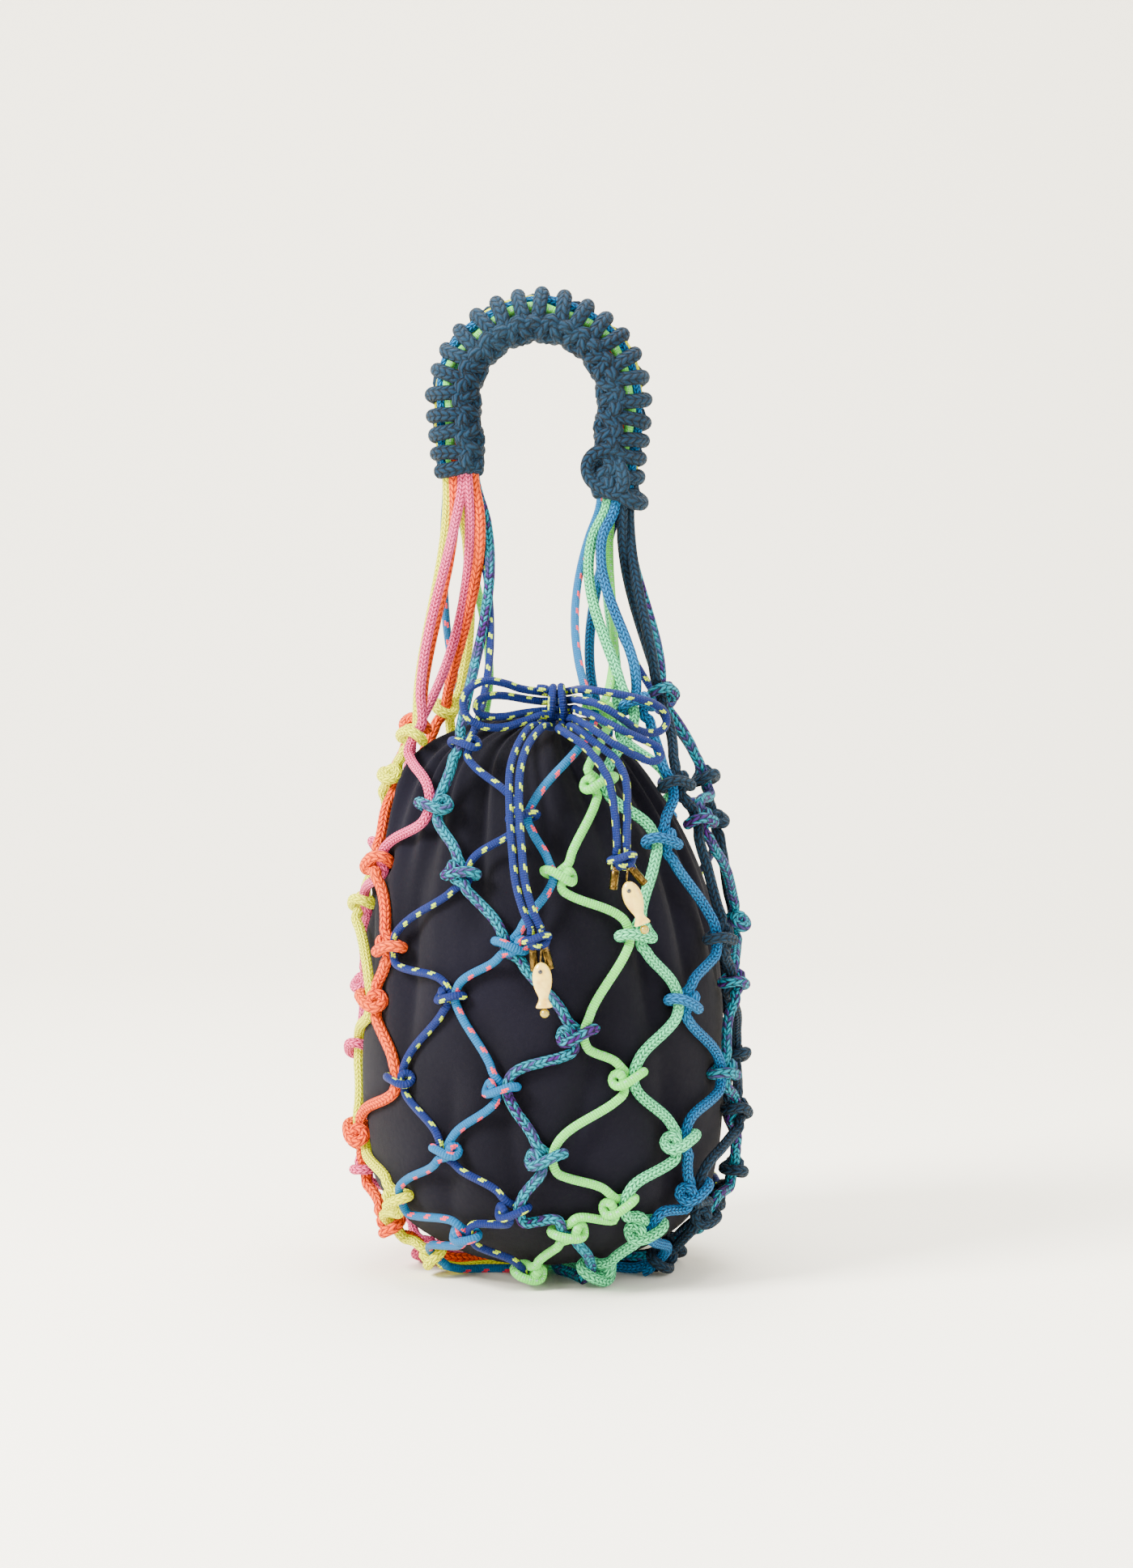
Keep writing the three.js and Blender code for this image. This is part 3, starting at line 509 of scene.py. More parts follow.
# The net's chart: rows of knots from the top down. The letters say for each knot which cord ties
# it, the one from the left or the right, in lower case where the two cords cross. Then come the
# knots that the photo shows, in degrees from the front and as shares of the net's height.
LANES = [
    "yellow", "pink", "teal_purple", "blue_yellow", "cyan_pink",
    "light_green", "mint", "bright_blue", "dark_teal", "teal_purple",
    "dark_teal", "blue_yellow", "mint", "bright_blue", "light_green",
    "cyan_pink", "yellow", "orange", "pink", "orange",
]
NET_ROWS = [
    ("LRRRRRLRLR", (-74, -35, 23, 44, 73, 112, 152, 214, 234, 260),
     (0.925, 0.917, 0.974, 0.981, 1, 0.97, 0.93, 0.92, 0.965, 0.94)),
    ("rRLLRRLRLL", (-88, -43, -8, 19, 52, 90, 128, 175, 212, 245),
     (0.853, 0.815, 0.804, 0.857, 0.849, 0.85, 0.83, 0.81, 0.82, 0.84)),
    ("llRRRLRLRL", (-69, -27, 3, 39, 62), (0.713, 0.709, 0.709, 0.758, 0.785)),
    ("lLrRRLLRRL", (-88, -54, -11, 26, 62), (0.634, 0.577, 0.596, 0.608, 0.589)),
    ("RLLRrLRLLR", (-65, -29, 9, 43, 74), (0.483, 0.506, 0.449, 0.491, 0.506)),
    ("LRLLRRLRLL", (-90, -49, -13, 24, 64), (0.381, 0.358, 0.358, 0.374, 0.358)),
    ("rrLLrLRRLR", (-80, -31, 0, 42, 77), (0.245, 0.249, 0.245, 0.26, 0.283)),
    ("LLLLLRLRRL", (-90, -53, -10, 22, 50), (0.17, 0.151, 0.155, 0.162, 0.17)),
    ("LLrLLLRLRL", (-76, -28, 6, 34, 64), (0.083, 0.102, 0.117, 0.113, 0.113)),
    ("LLRRRRLRLR", (-92, -60, -9, 21, 62), (0.028, 0.038, 0.034, 0.034, 0.03)),
]
# Height and radius as shares of the net's
NET_PROFILE = np.array([
    (0, 0.57), (0.035, 0.67), (0.083, 0.84), (0.15, 0.955), (0.23, 1), (0.6, 0.985),
    (0.717, 0.93), (0.83, 0.835), (0.906, 0.755), (0.955, 0.68), (1, 0.61),
])
COLUMNS = len(LANES) // 2
NET_RADIUS = 87.6
NET_HEIGHT = 265.2
# How each cord runs to the handle: to which leg, its place across and to the back as shares of the
# bundle's radius, and how far it swings in mm, sideways near its knot, sideways near the handle
# and to the back
CARRY = [
    ("left", -0.75, -0.3, (-4, -2, 0)), ("left", 0.1, -0.8, (-16, -8, -5)),
    ("left", 0.85, 0.55, (6, 12, 0)), ("left", 0.45, 0.1, (2, 6, 16)),
    ("right", -0.9, -0.1, (-2, -10, 0)), ("right", -0.15, -0.3, (0, -2, 13)),
    ("right", -0.5, -0.7, (2, -16, 0)), ("right", 0, -0.95, (0, -17, -8)),
    ("right", 0.85, -0.3, (3, 2, 0)), ("right", 0.7, 0.5, (0, 2, 0)),
    ("right", 0.45, -0.8, (0, 0, 0)), ("right", 0.35, 0.2, (-8, -14, 0)),
    ("right", -0.25, 0.5, (-2, -4, 0)), ("right", 0.1, 0.95, (-3, -6, 0)),
    ("left", -0.2, 0.9, (2, 0, 0)), ("left", -0.85, 0.5, (-2, -6, 0)),
    ("left", -0.05, 0.3, (0, 2, 0)), ("left", 0.8, -0.5, (2, 6, -6)),
    ("left", 0.45, -0.9, (5, 0, 0)), ("left", -0.35, -0.6, (-3, -1, 5)),
]
# The handle's centreline is a half circle with two legs. Its distances start at the crown.
HANDLE_OFFSET = -4.5
ARCH_RADIUS = 39.0
ARCH_HEIGHT = 398.0
HANDLE_START = -95.2
HANDLE_END = 106.4
HANDLE_SPLAY = math.radians(5)


def handle_point(distance):
    """A point on the handle's centreline and the way along it, from the crown down each leg."""
    quarter = math.pi / 2 * ARCH_RADIUS
    sign = 1 if distance >= 0 else -1
    bend = min(abs(distance), quarter) / ARCH_RADIUS
    point = np.array([sign * math.sin(bend), 0, math.cos(bend)]) * ARCH_RADIUS
    along = np.array([math.cos(bend), 0, -sign * math.sin(bend)])
    straight = abs(distance) - quarter
    if straight > 0:
        down = np.array([-sign * math.sin(HANDLE_SPLAY), 0, -math.cos(HANDLE_SPLAY)])
        along = down * sign
        point = point + down * straight
    return point + np.array([HANDLE_OFFSET, 0, ARCH_HEIGHT]), along


def round_point(radius, angle, z):
    return np.array([radius * math.cos(angle), radius * math.sin(angle), z])


def turn_of(point):
    return math.atan2(point[1], point[0])


def net_radius(height):
    """The net's radius at a share of its height."""
    return NET_RADIUS * np.interp(height, NET_PROFILE[:, 0], NET_PROFILE[:, 1])


def net_point(degrees, height):
    return round_point(net_radius(height), math.radians(degrees - 90), height * NET_HEIGHT)


def row_knots(angles, heights):
    """A row's knots: those of the photo, then the rest spaced evenly round the back."""
    knots = [net_point(*place) for place in zip(angles, heights)]
    unseen = COLUMNS - len(knots)
    for i in range(unseen):
        part = (i + 1) / (unseen + 1)
        turn = angles[-1] + part * (360 + angles[0] - angles[-1])
        knots.append(net_point(turn, heights[-1] + part * (heights[0] - heights[-1])))
    return knots


PROFILE_STEP = 0.02


def knot_frame(point, tilt):
    """Right, up and out of the net at a knot, turned by the tilt."""
    outward = np.array([point[0], point[1], 0.0])
    outward /= np.linalg.norm(outward)
    height = point[2] / NET_HEIGHT
    widening = net_radius(height + PROFILE_STEP) - net_radius(height - PROFILE_STEP)
    up = outward * widening + np.array([0, 0, 2 * PROFILE_STEP * NET_HEIGHT])
    up /= np.linalg.norm(up)
    right = np.cross(up, outward)
    right /= np.linalg.norm(right)
    turned_right = right * math.cos(tilt) + up * math.sin(tilt)
    turned_up = up * math.cos(tilt) - right * math.sin(tilt)
    return turned_right, turned_up, np.cross(right, up)


# A half hitch in cord radii: right, up and out of the net, for a cord that comes from the left
TYING_PATH = [
    (-1.9, 2.9, 0.2), (-0.6, 1.3, -0.2), (0.8, 0.1, -1.5), (2.6, 0.1, -0.9), (3.4, 0.4, 0.5),
    (2.2, 0.5, 1.85), (0, 0, 2.2), (-2.1, -0.6, 2), (-3.6, -0.8, 1), (-3.7, 0.2, -0.4),
    (-3, 1.2, -0.1), (-2.3, 1.2, 1.1), (-1.9, 0.2, 1.1), (-1.6, -1, 0.1), (-1.4, -2, 0),
    (-2.1, -2.9, 0.2),
]
PASSING_PATH = [(2, 2.7, 0.2), (1.1, 0.7, 0.2), (1.1, -1.1, 0.2), (2, -2.8, 0.2)]
KNOT_TILTS = (-6, 16)
KNOT_SCALE = 1.07
TYING_SHARE = 0.6
KNOT_WIDTH = 0.88
# Cords that cross in a knot: one is lifted over the other, and they change sides lower down.
CROSSING_LIFT = 0.9
LIFTED_BELOW = -0.9
CROSSED_BELOW = -1.5


def cord_radius(lane):
    return CORD_DIAMETERS[LANES[lane]] / 2


# Each cord's knots from the top: the place, the side that it comes from, whether it ties, whether
# the two cords cross, the knot's tilt and its size
ways = [[] for _ in LANES]
cord_on_lane = list(range(len(LANES)))
for level, (ties, angles, heights) in enumerate(NET_ROWS):
    for column, point in enumerate(row_knots(angles, heights)):
        left = (2 * column - level % 2) % len(LANES)
        right = (left + 1) % len(LANES)
        letter = ties[column]
        crosses = letter.islower()
        left_ties = letter.upper() == "L"
        tilt = math.radians(random.uniform(*KNOT_TILTS))
        radii = [cord_radius(cord_on_lane[lane]) for lane in (left, right)]
        tying, passing = radii if left_ties else radii[::-1]
        scale = KNOT_SCALE * (TYING_SHARE * tying + (1 - TYING_SHARE) * passing)
        ways[cord_on_lane[left]].append((point, -1, left_ties, crosses, tilt, scale))
        ways[cord_on_lane[right]].append((point, 1, not left_ties, crosses, tilt, scale))
        if crosses:
            cord_on_lane[left], cord_on_lane[right] = cord_on_lane[right], cord_on_lane[left]


def through_knot(way):
    """A cord's points through one knot."""
    point, side, ties, crosses, tilt, scale = way
    path = TYING_PATH if ties else PASSING_PATH
    mirror = -side if ties else side
    right, up, out = knot_frame(point, -side * tilt if ties else 0)
    points = []
    for x, y, z in path:
        x *= mirror * KNOT_WIDTH
        if crosses and y < LIFTED_BELOW:
            z += CROSSING_LIFT if ties else -CROSSING_LIFT
        if crosses and y < CROSSED_BELOW:
            x = -x
        points.append(point + (right * x + up * y + out * z) * scale)
    return points


BUNDLE_RADIUS = 7.9
BUNDLE_ENTRY = 4
BUNDLE_RUN = 16
CARRY_PARTS = 7


def carry_points(lane, top_points):
    """From the bundle in the handle down to the cord's top knot."""
    side, across_share, depth_share, (near_knot, near_handle, back) = CARRY[lane]
    end, along = handle_point(HANDLE_START if side == "left" else HANDLE_END)
    down = along if side == "right" else -along
    across = np.array([-down[2], 0, down[0]])
    if across[0] < 0:
        across = -across
    place = across * across_share + np.array([0, depth_share, 0])
    finish = end + place * BUNDLE_RADIUS + down * BUNDLE_ENTRY
    start = top_points[0]
    leaving = top_points[0] - top_points[1]
    towards = finish - start
    leaving = (leaving / np.linalg.norm(leaving) + towards / np.linalg.norm(towards)) / 2
    reach = np.linalg.norm(towards) / 3
    a, b = start + leaving * reach, finish + down * reach
    a[:2] += (near_knot, back)
    b[:2] += (near_handle, back)
    points = []
    for t in np.linspace(0, 1, CARRY_PARTS + 1)[1:]:
        u = 1 - t
        points.append(u**3 * start + 3 * u**2 * t * a + 3 * u * t**2 * b + t**3 * finish)
    points.append(finish - down * BUNDLE_RUN)
    return points[::-1]


STRAND_SHARES = (0.16, 0.33, 0.5, 0.67, 0.84)
LEAVING_DOWN = 0.22
ARRIVING_DOWN = 0.44


def strand_points(a, b):
    """A strand on the net's round, leaving one knot downwards and easing into the next."""
    radii = [math.hypot(a[0], a[1]), math.hypot(b[0], b[1])]
    middle_radius = sum(radii) / 2
    turn = (turn_of(b) - turn_of(a) + math.pi) % (2 * math.pi) - math.pi
    start = np.array([0.0, a[2]])
    end = np.array([turn * middle_radius, b[2]])
    length = np.linalg.norm(end - start)
    down = np.array([0, -length])
    leaving = LEAVING_DOWN * down + (1 - LEAVING_DOWN) * (end - start)
    arriving = ARRIVING_DOWN * down + (1 - ARRIVING_DOWN) * (end - start)
    out = []
    for t in STRAND_SHARES:
        h = (2 * t**3 - 3 * t**2 + 1, t**3 - 2 * t**2 + t, -2 * t**3 + 3 * t**2, t**3 - t**2)
        flat = h[0] * start + h[1] * leaving + h[2] * end + h[3] * arriving
        near_end = (2 * t - 1) ** 2
        between_ends = radii[0] * (1 - t) + radii[1] * t
        radius = between_ends * near_end + net_radius(flat[1] / NET_HEIGHT) * (1 - near_end)
        out.append(round_point(radius, turn_of(a) + flat[0] / middle_radius, flat[1]))
    return out


# Under the pouch: shares of the last knot's radius with their heights, then the gather's radii
FOOT_ROWS = ((0.93, 5.2), (0.8, 2.9), (0.6, 0))
FOOT_SPREAD = 1.815
GATHER_RADII = (25.65, 17.0)
FLOOR_GAP = 0.02
SIDE_TURN = 0.02


def bottom_turn(lane):
    return turn_of(ways[lane][-1][0])


def foot_order(lane):
    side = ways[lane][-1][1]
    return bottom_turn(lane) + SIDE_TURN * side


order = sorted(range(len(LANES)), key=foot_order)
foot_turns = {
    lane: bottom_turn(order[0]) + place * 2 * math.pi / len(LANES)
    for place, lane in enumerate(order)
}


def foot_points(lane, radius):
    """From the cord's last knot to the gather."""
    point, side = ways[lane][-1][:2]
    floor = radius + FLOOR_GAP
    out = []
    for share, height in FOOT_ROWS:
        r = math.hypot(point[0], point[1]) * share
        out.append(round_point(r, turn_of(point) + side * FOOT_SPREAD / r, max(height, floor)))
    return out + [round_point(r, foot_turns[lane], floor) for r in GATHER_RADII]


NET_STEP = 1.3
net_lines = []
for lane, kind in enumerate(LANES):
    radius = cord_radius(lane)
    knots = [through_knot(way) for way in ways[lane]]
    points = carry_points(lane, knots[0])
    for i, knot in enumerate(knots):
        if i:
            points += strand_points(knots[i - 1][-1], knot[0])
        points += knot
    points += foot_points(lane, radius)
    line = smooth_line(points, NET_STEP)
    line[:, 2] = np.maximum(line[:, 2], radius + FLOOR_GAP)
    net_lines.append((line, radius))
    piece = tube_piece(f"cord_{lane + 1}", [line], [radius], CORD_SIDES, CORDS[kind])
    carry = "carry_cords_" + CARRY[lane][0]
    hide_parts(f"net_cord_{lane + 1}", carry, "net_base")

# The gather under the pouch: a coil of cord
COIL_RADIUS = 16.6
COIL_PITCH = 5.2
COIL_TURNS = 3.1
COIL_CORD_RADIUS = 2.7
turns = np.linspace(0, 2 * math.pi * COIL_TURNS, 150)
reach = COIL_RADIUS - COIL_PITCH * turns / (2 * math.pi)
lift = np.full(len(turns), COIL_CORD_RADIUS + FLOOR_GAP)
coil = np.stack([reach * np.cos(turns), reach * np.sin(turns), lift], axis=1)
line = even_line(coil, NET_STEP)
hub = tube_piece("base_gather", [line], [COIL_CORD_RADIUS], CORD_SIDES, CORDS["mint"])
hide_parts("net_base")


# The handle: two cords tied in square knots round the core cords
FRONT = np.array([0.0, -1.0, 0.0])
INSIDE_HANDLE = np.array([HANDLE_OFFSET, 0, ARCH_HEIGHT - 30])


def round_handle(distance, turn, radius):
    """A point round the handle: turn 0 is its outer side and a quarter turn is its front."""
    point, along = handle_point(distance)
    outward = np.cross(along, FRONT)
    if outward.dot(point - INSIDE_HANDLE) < 0:
        outward = -outward
    outward /= np.linalg.norm(outward)
    return point + outward * radius * math.cos(turn) + FRONT * radius * math.sin(turn)


HALF_KNOTS = 23
HALF_PITCH = (HANDLE_END - HANDLE_START) / (HALF_KNOTS + 0.6)
FIRST_KNOT = 0.3
FACE = math.radians(26)
BAR_RADIUS = 3.4
BAR_PARTS = 14
BAR_PULL = 0.82
BAR_UNEVEN = 0.35
OUTER_SWING = math.radians(100)
INNER_SWING = math.radians(104)
outer_bars, inner_bars = [], []
shifts = rng.normal(0, 1, (HALF_KNOTS + 2, 3))
for i in range(HALF_KNOTS * BAR_PARTS + 1):
    t = i / BAR_PARTS
    swing = math.sin(math.pi * t)
    edge = abs(swing) ** 3
    jitter = shifts[int(t)]
    pull = BAR_PULL * math.sin(2 * math.pi * t) / (2 * math.pi)
    along = HANDLE_START + HALF_PITCH * (t + FIRST_KNOT - pull)
    outer_radius = 9.7 + 0.3 * jitter[1] * (1 - edge) + 1.7 * edge - 1.6 * edge**6
    outer_at = along + BAR_UNEVEN * jitter[0]
    outer_bars.append(round_handle(outer_at, FACE + OUTER_SWING * swing, outer_radius))
    inner_radius = 9.4 + 2.5 * edge
    inner_at = along + BAR_UNEVEN * jitter[2] + 0.16 * HALF_PITCH * edge
    inner_bars.append(round_handle(inner_at, FACE + math.pi + INNER_SWING * swing, inner_radius))
end_loop = [
    (33.6, -9.6, 373.5), (28.4, -11.6, 375.4), (23.2, -12, 374.8), (19, -11.2, 371.6),
    (17.8, -10.4, 366.6), (20, -10.6, 361.6), (25, -11.4, 358.4), (30, -12.4, 356),
    (33.4, -13, 359), (33.6, -12.6, 364), (32, -11, 368.6), (31.6, -7.6, 372),
]
end_tie = [
    (30.5, 4, 357), (25.5, -1, 358), (25.8, -7.4, 359.6), (31.4, -11.6, 356.4),
    (37.4, -11.2, 352.6), (41.6, -6.6, 351.4), (42.4, 0, 352.6), (39.4, 6.6, 354.8),
    (33, 9.2, 357), (27, 5.6, 359),
]
PLAIT_PARTS = 6
PLAIT_TURN = 99
PLAIT_SWING = 19
PLAIT_RADIUS = 11.6
plaits = []
for part in (0, 1):
    points = []
    for i in range(HALF_KNOTS * PLAIT_PARTS + 1):
        t = i / PLAIT_PARTS
        swing = math.sin(math.pi * (t + part))
        over = math.cos(2 * math.pi * (t + part / 2))
        along = HANDLE_START + HALF_PITCH * (t + FIRST_KNOT)
        turn = FACE + math.radians(PLAIT_TURN + PLAIT_SWING * swing)
        points.append(round_handle(along, turn, PLAIT_RADIUS + over))
    plaits.append(points)
HANDLE_STEP = 1.2
handle_cords = {
    "knots_outer": outer_bars, "knots_inner": inner_bars, "end_loop": end_loop,
    "end_tie": end_tie, "plait_a": plaits[0], "plait_b": plaits[1],
}
for name, points in handle_cords.items():
    line = smooth_line(points, HANDLE_STEP)
    piece = tube_piece("handle_" + name, [line], [BAR_RADIUS], CORD_SIDES, CORDS["dark_teal"])
    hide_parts("handle_wrap")

# The core cords: degrees from the handle's outer side and distance from its centreline in mm
CORE = [
    ("bright_blue", 27, 7), ("yellow", -20, 7.2), ("light_green", 66, 6.9), ("orange", 122, 4.6),
    ("pink", 180, 4.6), ("cyan_pink", -75, 6.2), ("dark_teal", -130, 4.8), ("mint", 0, 1.4),
]
CORE_STEP = 1.6
for kind, degrees, reach in CORE:
    points = []
    for i, distance in enumerate(np.linspace(HANDLE_START + 1, HANDLE_END - 1, 26)):
        wander = math.radians(degrees + 9 * math.sin(i * 1.3 + degrees) + rng.normal(0, 3))
        points.append(round_handle(distance, wander, reach + 0.5 * math.sin(i * 0.9 + degrees)))
    line = smooth_line(points, CORE_STEP)
    piece = tube_piece("core_" + kind, [line], [CORD_DIAMETERS[kind] / 2], THIN_SIDES, CORDS[kind])
    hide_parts("handle_core")


# The pouch
POUCH_HEIGHT = 246.0
POUCH_LIFT = 5.4
POUCH_RADIUS = 83.6
# Height as a share of the pouch's, radius and lean to the left as shares of its radius
POUCH_PROFILE = np.array([
    (0, 0, 0), (0.004, 0.42, 0), (0.03, 0.6, 0), (0.075, 0.79, 0), (0.14, 0.93, 0), (0.24, 1, 0),
    (0.536, 0.995, 0), (0.686, 0.94, 0.03), (0.804, 0.81, 0.06), (0.93, 0.58, 0.11),
    (0.97, 0.44, 0.1), (0.995, 0.31, 0.05), (1.008, 0.22, 0.02), (1, 0.12, 0), (0.965, 0.09, 0),
])
AROUND = 320
UPWARD = 150
OUTLINE_STEP = 0.8
LEAST_RADIUS = 0.05

outline = [
    (radius * POUCH_RADIUS, lean * POUCH_RADIUS, POUCH_LIFT + height * POUCH_HEIGHT)
    for height, radius, lean in POUCH_PROFILE
]
outline = smooth_line(outline, OUTLINE_STEP)
outline = outline[np.linspace(0, len(outline) - 1, UPWARD).astype(int)]
outline[:, 0] = np.maximum(outline[:, 0], LEAST_RADIUS)
outline_length = line_length(outline)


def blurred_noise(count, width, seed):
    """A closed row of smooth noise with a spread of one."""
    local = np.random.default_rng(seed)
    row = local.normal(0, 1, count)
    spread = np.exp(-0.5 * (np.arange(-4 * width, 4 * width + 1) / width) ** 2)
    closed = np.concatenate([row[-4 * width :], row, row[: 4 * width]])
    row = np.convolve(closed, spread, mode="valid")
    return row / row.std()


angle = np.arange(AROUND) * 2 * math.pi / AROUND
pleats = blurred_noise(AROUND, width=2, seed=3)
broad = blurred_noise(AROUND, width=22, seed=8)
# Valleys in the cloth: degrees from the front, lower and upper end as shares of the height, depth
# in mm, half width in degrees and how far the valley leans over its length in degrees
VALLEYS = [
    (2, 0.5, 0.98, 5, 4.5, 9), (30, 0.42, 0.93, 6, 5, -7), (-22, 0.62, 1, 5, 4, -8),
    (-46, 0.36, 0.9, 4.5, 5.5, 8), (13, 0.2, 0.56, 3, 5, 10), (-13, 0.12, 0.5, 3.2, 6, -10),
    (51, 0.5, 0.97, 5, 4.5, 6), (40, 0.1, 0.46, 3.4, 6, -8), (-33, 0.08, 0.4, 2.6, 5, 6),
]
for turn, low in zip(range(72, 290, 15), [0.5, 0.16, 0.44, 0.1, 0.55, 0.3] * 3):
    deep, half_width = 3.6 + 1.6 * random.random(), 4 + 2.5 * random.random()
    VALLEYS.append((turn, low, low + 0.45, deep, half_width, random.uniform(-10, 10)))
BETWEEN_VALLEYS = 0.9


def folds_at(height):
    """How far the cloth stands out round the pouch at a share of its height, in mm."""
    from_front = np.degrees(angle) + 90
    depth = np.full(AROUND, BETWEEN_VALLEYS)
    for turn, low, high, deep, half_width, lean in VALLEYS:
        along = (height - low) / (high - low)
        if 0 < along < 1:
            off = (from_front - turn - lean * (along - 0.5) + 180) % 360 - 180
            across = np.exp(-np.abs(off / half_width) ** 1.6)
            depth -= deep * math.sin(math.pi * along) ** 0.7 * across
    return depth


def step_up(value, low, high):
    t = np.clip((value - low) / (high - low), 0, 1)
    return t * t * (3 - 2 * t)


cords_tree = KDTree(sum(len(line) for line, _ in net_lines))
cord_points, cord_radii = [], []
for line, radius in net_lines:
    for point in line:
        cords_tree.insert(Vector(point), len(cord_points))
        cord_points.append(point)
        cord_radii.append(radius)
cords_tree.balance()

PLEAT_DEPTH = 3.7
WAIST_PLEAT_DEPTH = 0.9
FOLD_DEPTH = 1.3
BROAD_DEPTH = 1.5
BOTTOM_HEIGHT = 12
BOTTOM_DEPTH = 0.3
cloth_uv = np.zeros((UPWARD, AROUND, 2))
travelled = distances_along(outline)
shape = np.zeros((UPWARD, AROUND, 3))
for i, (radius, lean, z) in enumerate(outline):
    height = (z - POUCH_LIFT) / POUCH_HEIGHT
    past_top = travelled[i] / outline_length
    neck = step_up(past_top, low=0.66, high=0.88)
    lip = step_up(radius, low=5, high=20)
    body = (1 - 0.6 * neck) * step_up(z, low=8, high=50)
    depth = PLEAT_DEPTH * neck * pleats * min(1, radius / 22)
    depth = depth + body * (FOLD_DEPTH * folds_at(height) + BROAD_DEPTH * broad)
    waist = step_up(past_top, low=0.45, high=0.8) * (1 - neck)
    depth = depth + WAIST_PLEAT_DEPTH * waist * pleats
    if z < BOTTOM_HEIGHT:
        depth = depth * BOTTOM_DEPTH
    grown = radius + depth * (0.25 + 0.75 * lip)
    a = angle + 0.02 * np.sin(3 * angle + height * 7)
    shape[i] = np.stack([grown * np.cos(a) - lean, grown * np.sin(a), np.full(AROUND, z)], axis=1)
    cloth_uv[i, :, 0] = angle * POUCH_RADIUS / 10
    cloth_uv[i, :, 1] = travelled[i] / 10

# The cords press into the cloth, and the hollows are softened and only ever deepened. In mm.
PRESS_REACH = 9.5
PRESS_GAP = 0.7
PRESS_SIDE = 2.5
PRESS_SLOPE = 0.9
PRESS_LEAST_RADIUS = 20
SOFT_ROUNDS = 5
away = np.hypot(shape[:, :, 0], shape[:, :, 1])
pressed = away > PRESS_LEAST_RADIUS
pushed = np.zeros((UPWARD, AROUND))
for i, j in np.argwhere(pressed):
    p = shape[i, j]
    outward = np.array([p[0], p[1], 0]) / away[i, j]
    for co, index, distance in cords_tree.find_range(Vector(p), PRESS_REACH):
        level = (cord_points[index] - p).dot(outward)
        side = math.sqrt(max(distance * distance - level * level, 0))
        reach = cord_radii[index] + PRESS_GAP
        if side < reach + PRESS_SIDE:
            slope = max(0, side - reach) * PRESS_SLOPE
            limit = level - math.sqrt(max(reach * reach - side * side, 0)) + slope
            pushed[i, j] = min(pushed[i, j], limit)
soft = pushed.copy()
for _ in range(SOFT_ROUNDS):
    beside = np.roll(soft, 1, 1) + np.roll(soft, -1, 1)
    above_and_below = np.vstack([soft[:1], soft[:-1]]) + np.vstack([soft[1:], soft[-1:]])
    soft = (soft + beside + above_and_below) / 5
pushed = np.where(pressed, np.minimum(pushed, soft), 0)
shape[:, :, :2] *= (1 + pushed / away)[:, :, None]

CLOTH_THICKNESS = 0.0011
cell_width = 2 * math.pi * POUCH_RADIUS / 10 / AROUND
faces, uvs = [], []
for i in range(UPWARD - 1):
    for j in range(AROUND):
        k = (j + 1) % AROUND
        faces.append((i * AROUND + j, i * AROUND + k, (i + 1) * AROUND + k, (i + 1) * AROUND + j))
        u0, v0 = cloth_uv[i, j]
        u1, v1 = u0 + cell_width, cloth_uv[i + 1, j, 1]
        uvs.append([(u0, v0), (u1, v0), (u1, v1), (u0, v1)])
pouch = mesh_piece("pouch_cloth", shape.reshape(-1, 3), faces, uvs, CLOTH)
thick = pouch.modifiers.new("thickness", "SOLIDIFY")
thick.thickness = CLOTH_THICKNESS
thick.offset = -1
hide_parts("pouch")


# The bow's knot: two wraps, the strands inside them, a stub and the two ends to the neck
BOW_Y, BOW_Z = -40.0, 261.5


def wrap_ring(x, half_height, half_depth, lean):
    turns = np.linspace(0, 2 * math.pi, 40)
    ring = [
        x + lean * np.sin(turns),
        BOW_Y - half_depth * np.cos(turns),
        BOW_Z + half_height * np.sin(turns),
    ]
    return even_line(np.stack(ring, axis=1), DRAWSTRING_STEP)


BOW_STRANDS = [
    [(-3, -38, 266.6), (3, -37.5, 266), (9, -38.5, 267), (11.6, -40, 267.5)],
    [(-3, -38, 262.4), (3, -38.6, 262.6), (9, -39, 263), (11.8, -43, 263.6)],
    [(-3.4, -40.5, 258.2), (3, -40.5, 258.4), (9, -40, 259), (11.8, -40, 259.4)],
    [(-3.4, -45.5, 256.4), (2, -42.5, 256), (8, -43, 255.4), (11.6, -46, 255.2)],
    [(-2.4, -41, 251.6), (-1.4, -38.6, 256), (1, -37, 260)],
    [(1.8, -42, 251), (2.2, -39.5, 256), (3, -38, 260)],
    [(6.4, -43, 251.4), (6.2, -40, 256), (5.6, -38, 260)],
    [(10.4, -42, 251.6), (9.6, -39.5, 256), (7.6, -38, 260)],
    [(-4.6, -40.6, 268.4), (-1.4, -41.4, 268.2), (3, -39, 265), (5, -36, 261)],
    [(2, -38, 262), (0.6, -30, 257), (-6, -23.5, 250), (-14, -19.5, 247)],
    [(7, -38, 262), (7, -30, 257), (10, -23, 250), (15, -18.5, 247)],
]
bow_lines = [
    wrap_ring(1.6, half_height=7.3, half_depth=5.2, lean=0.6),
    wrap_ring(6.6, half_height=7.6, half_depth=5.4, lean=-0.8),
    *(smooth_line(strand, DRAWSTRING_STEP) for strand in BOW_STRANDS),
]
bow_radii = [DRAWSTRING_RADIUS] * len(bow_lines)
bow_knot = tube_piece("bow_knot_cord", bow_lines, bow_radii, THIN_SIDES, CORDS["blue_yellow"])
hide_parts("bow_knot")


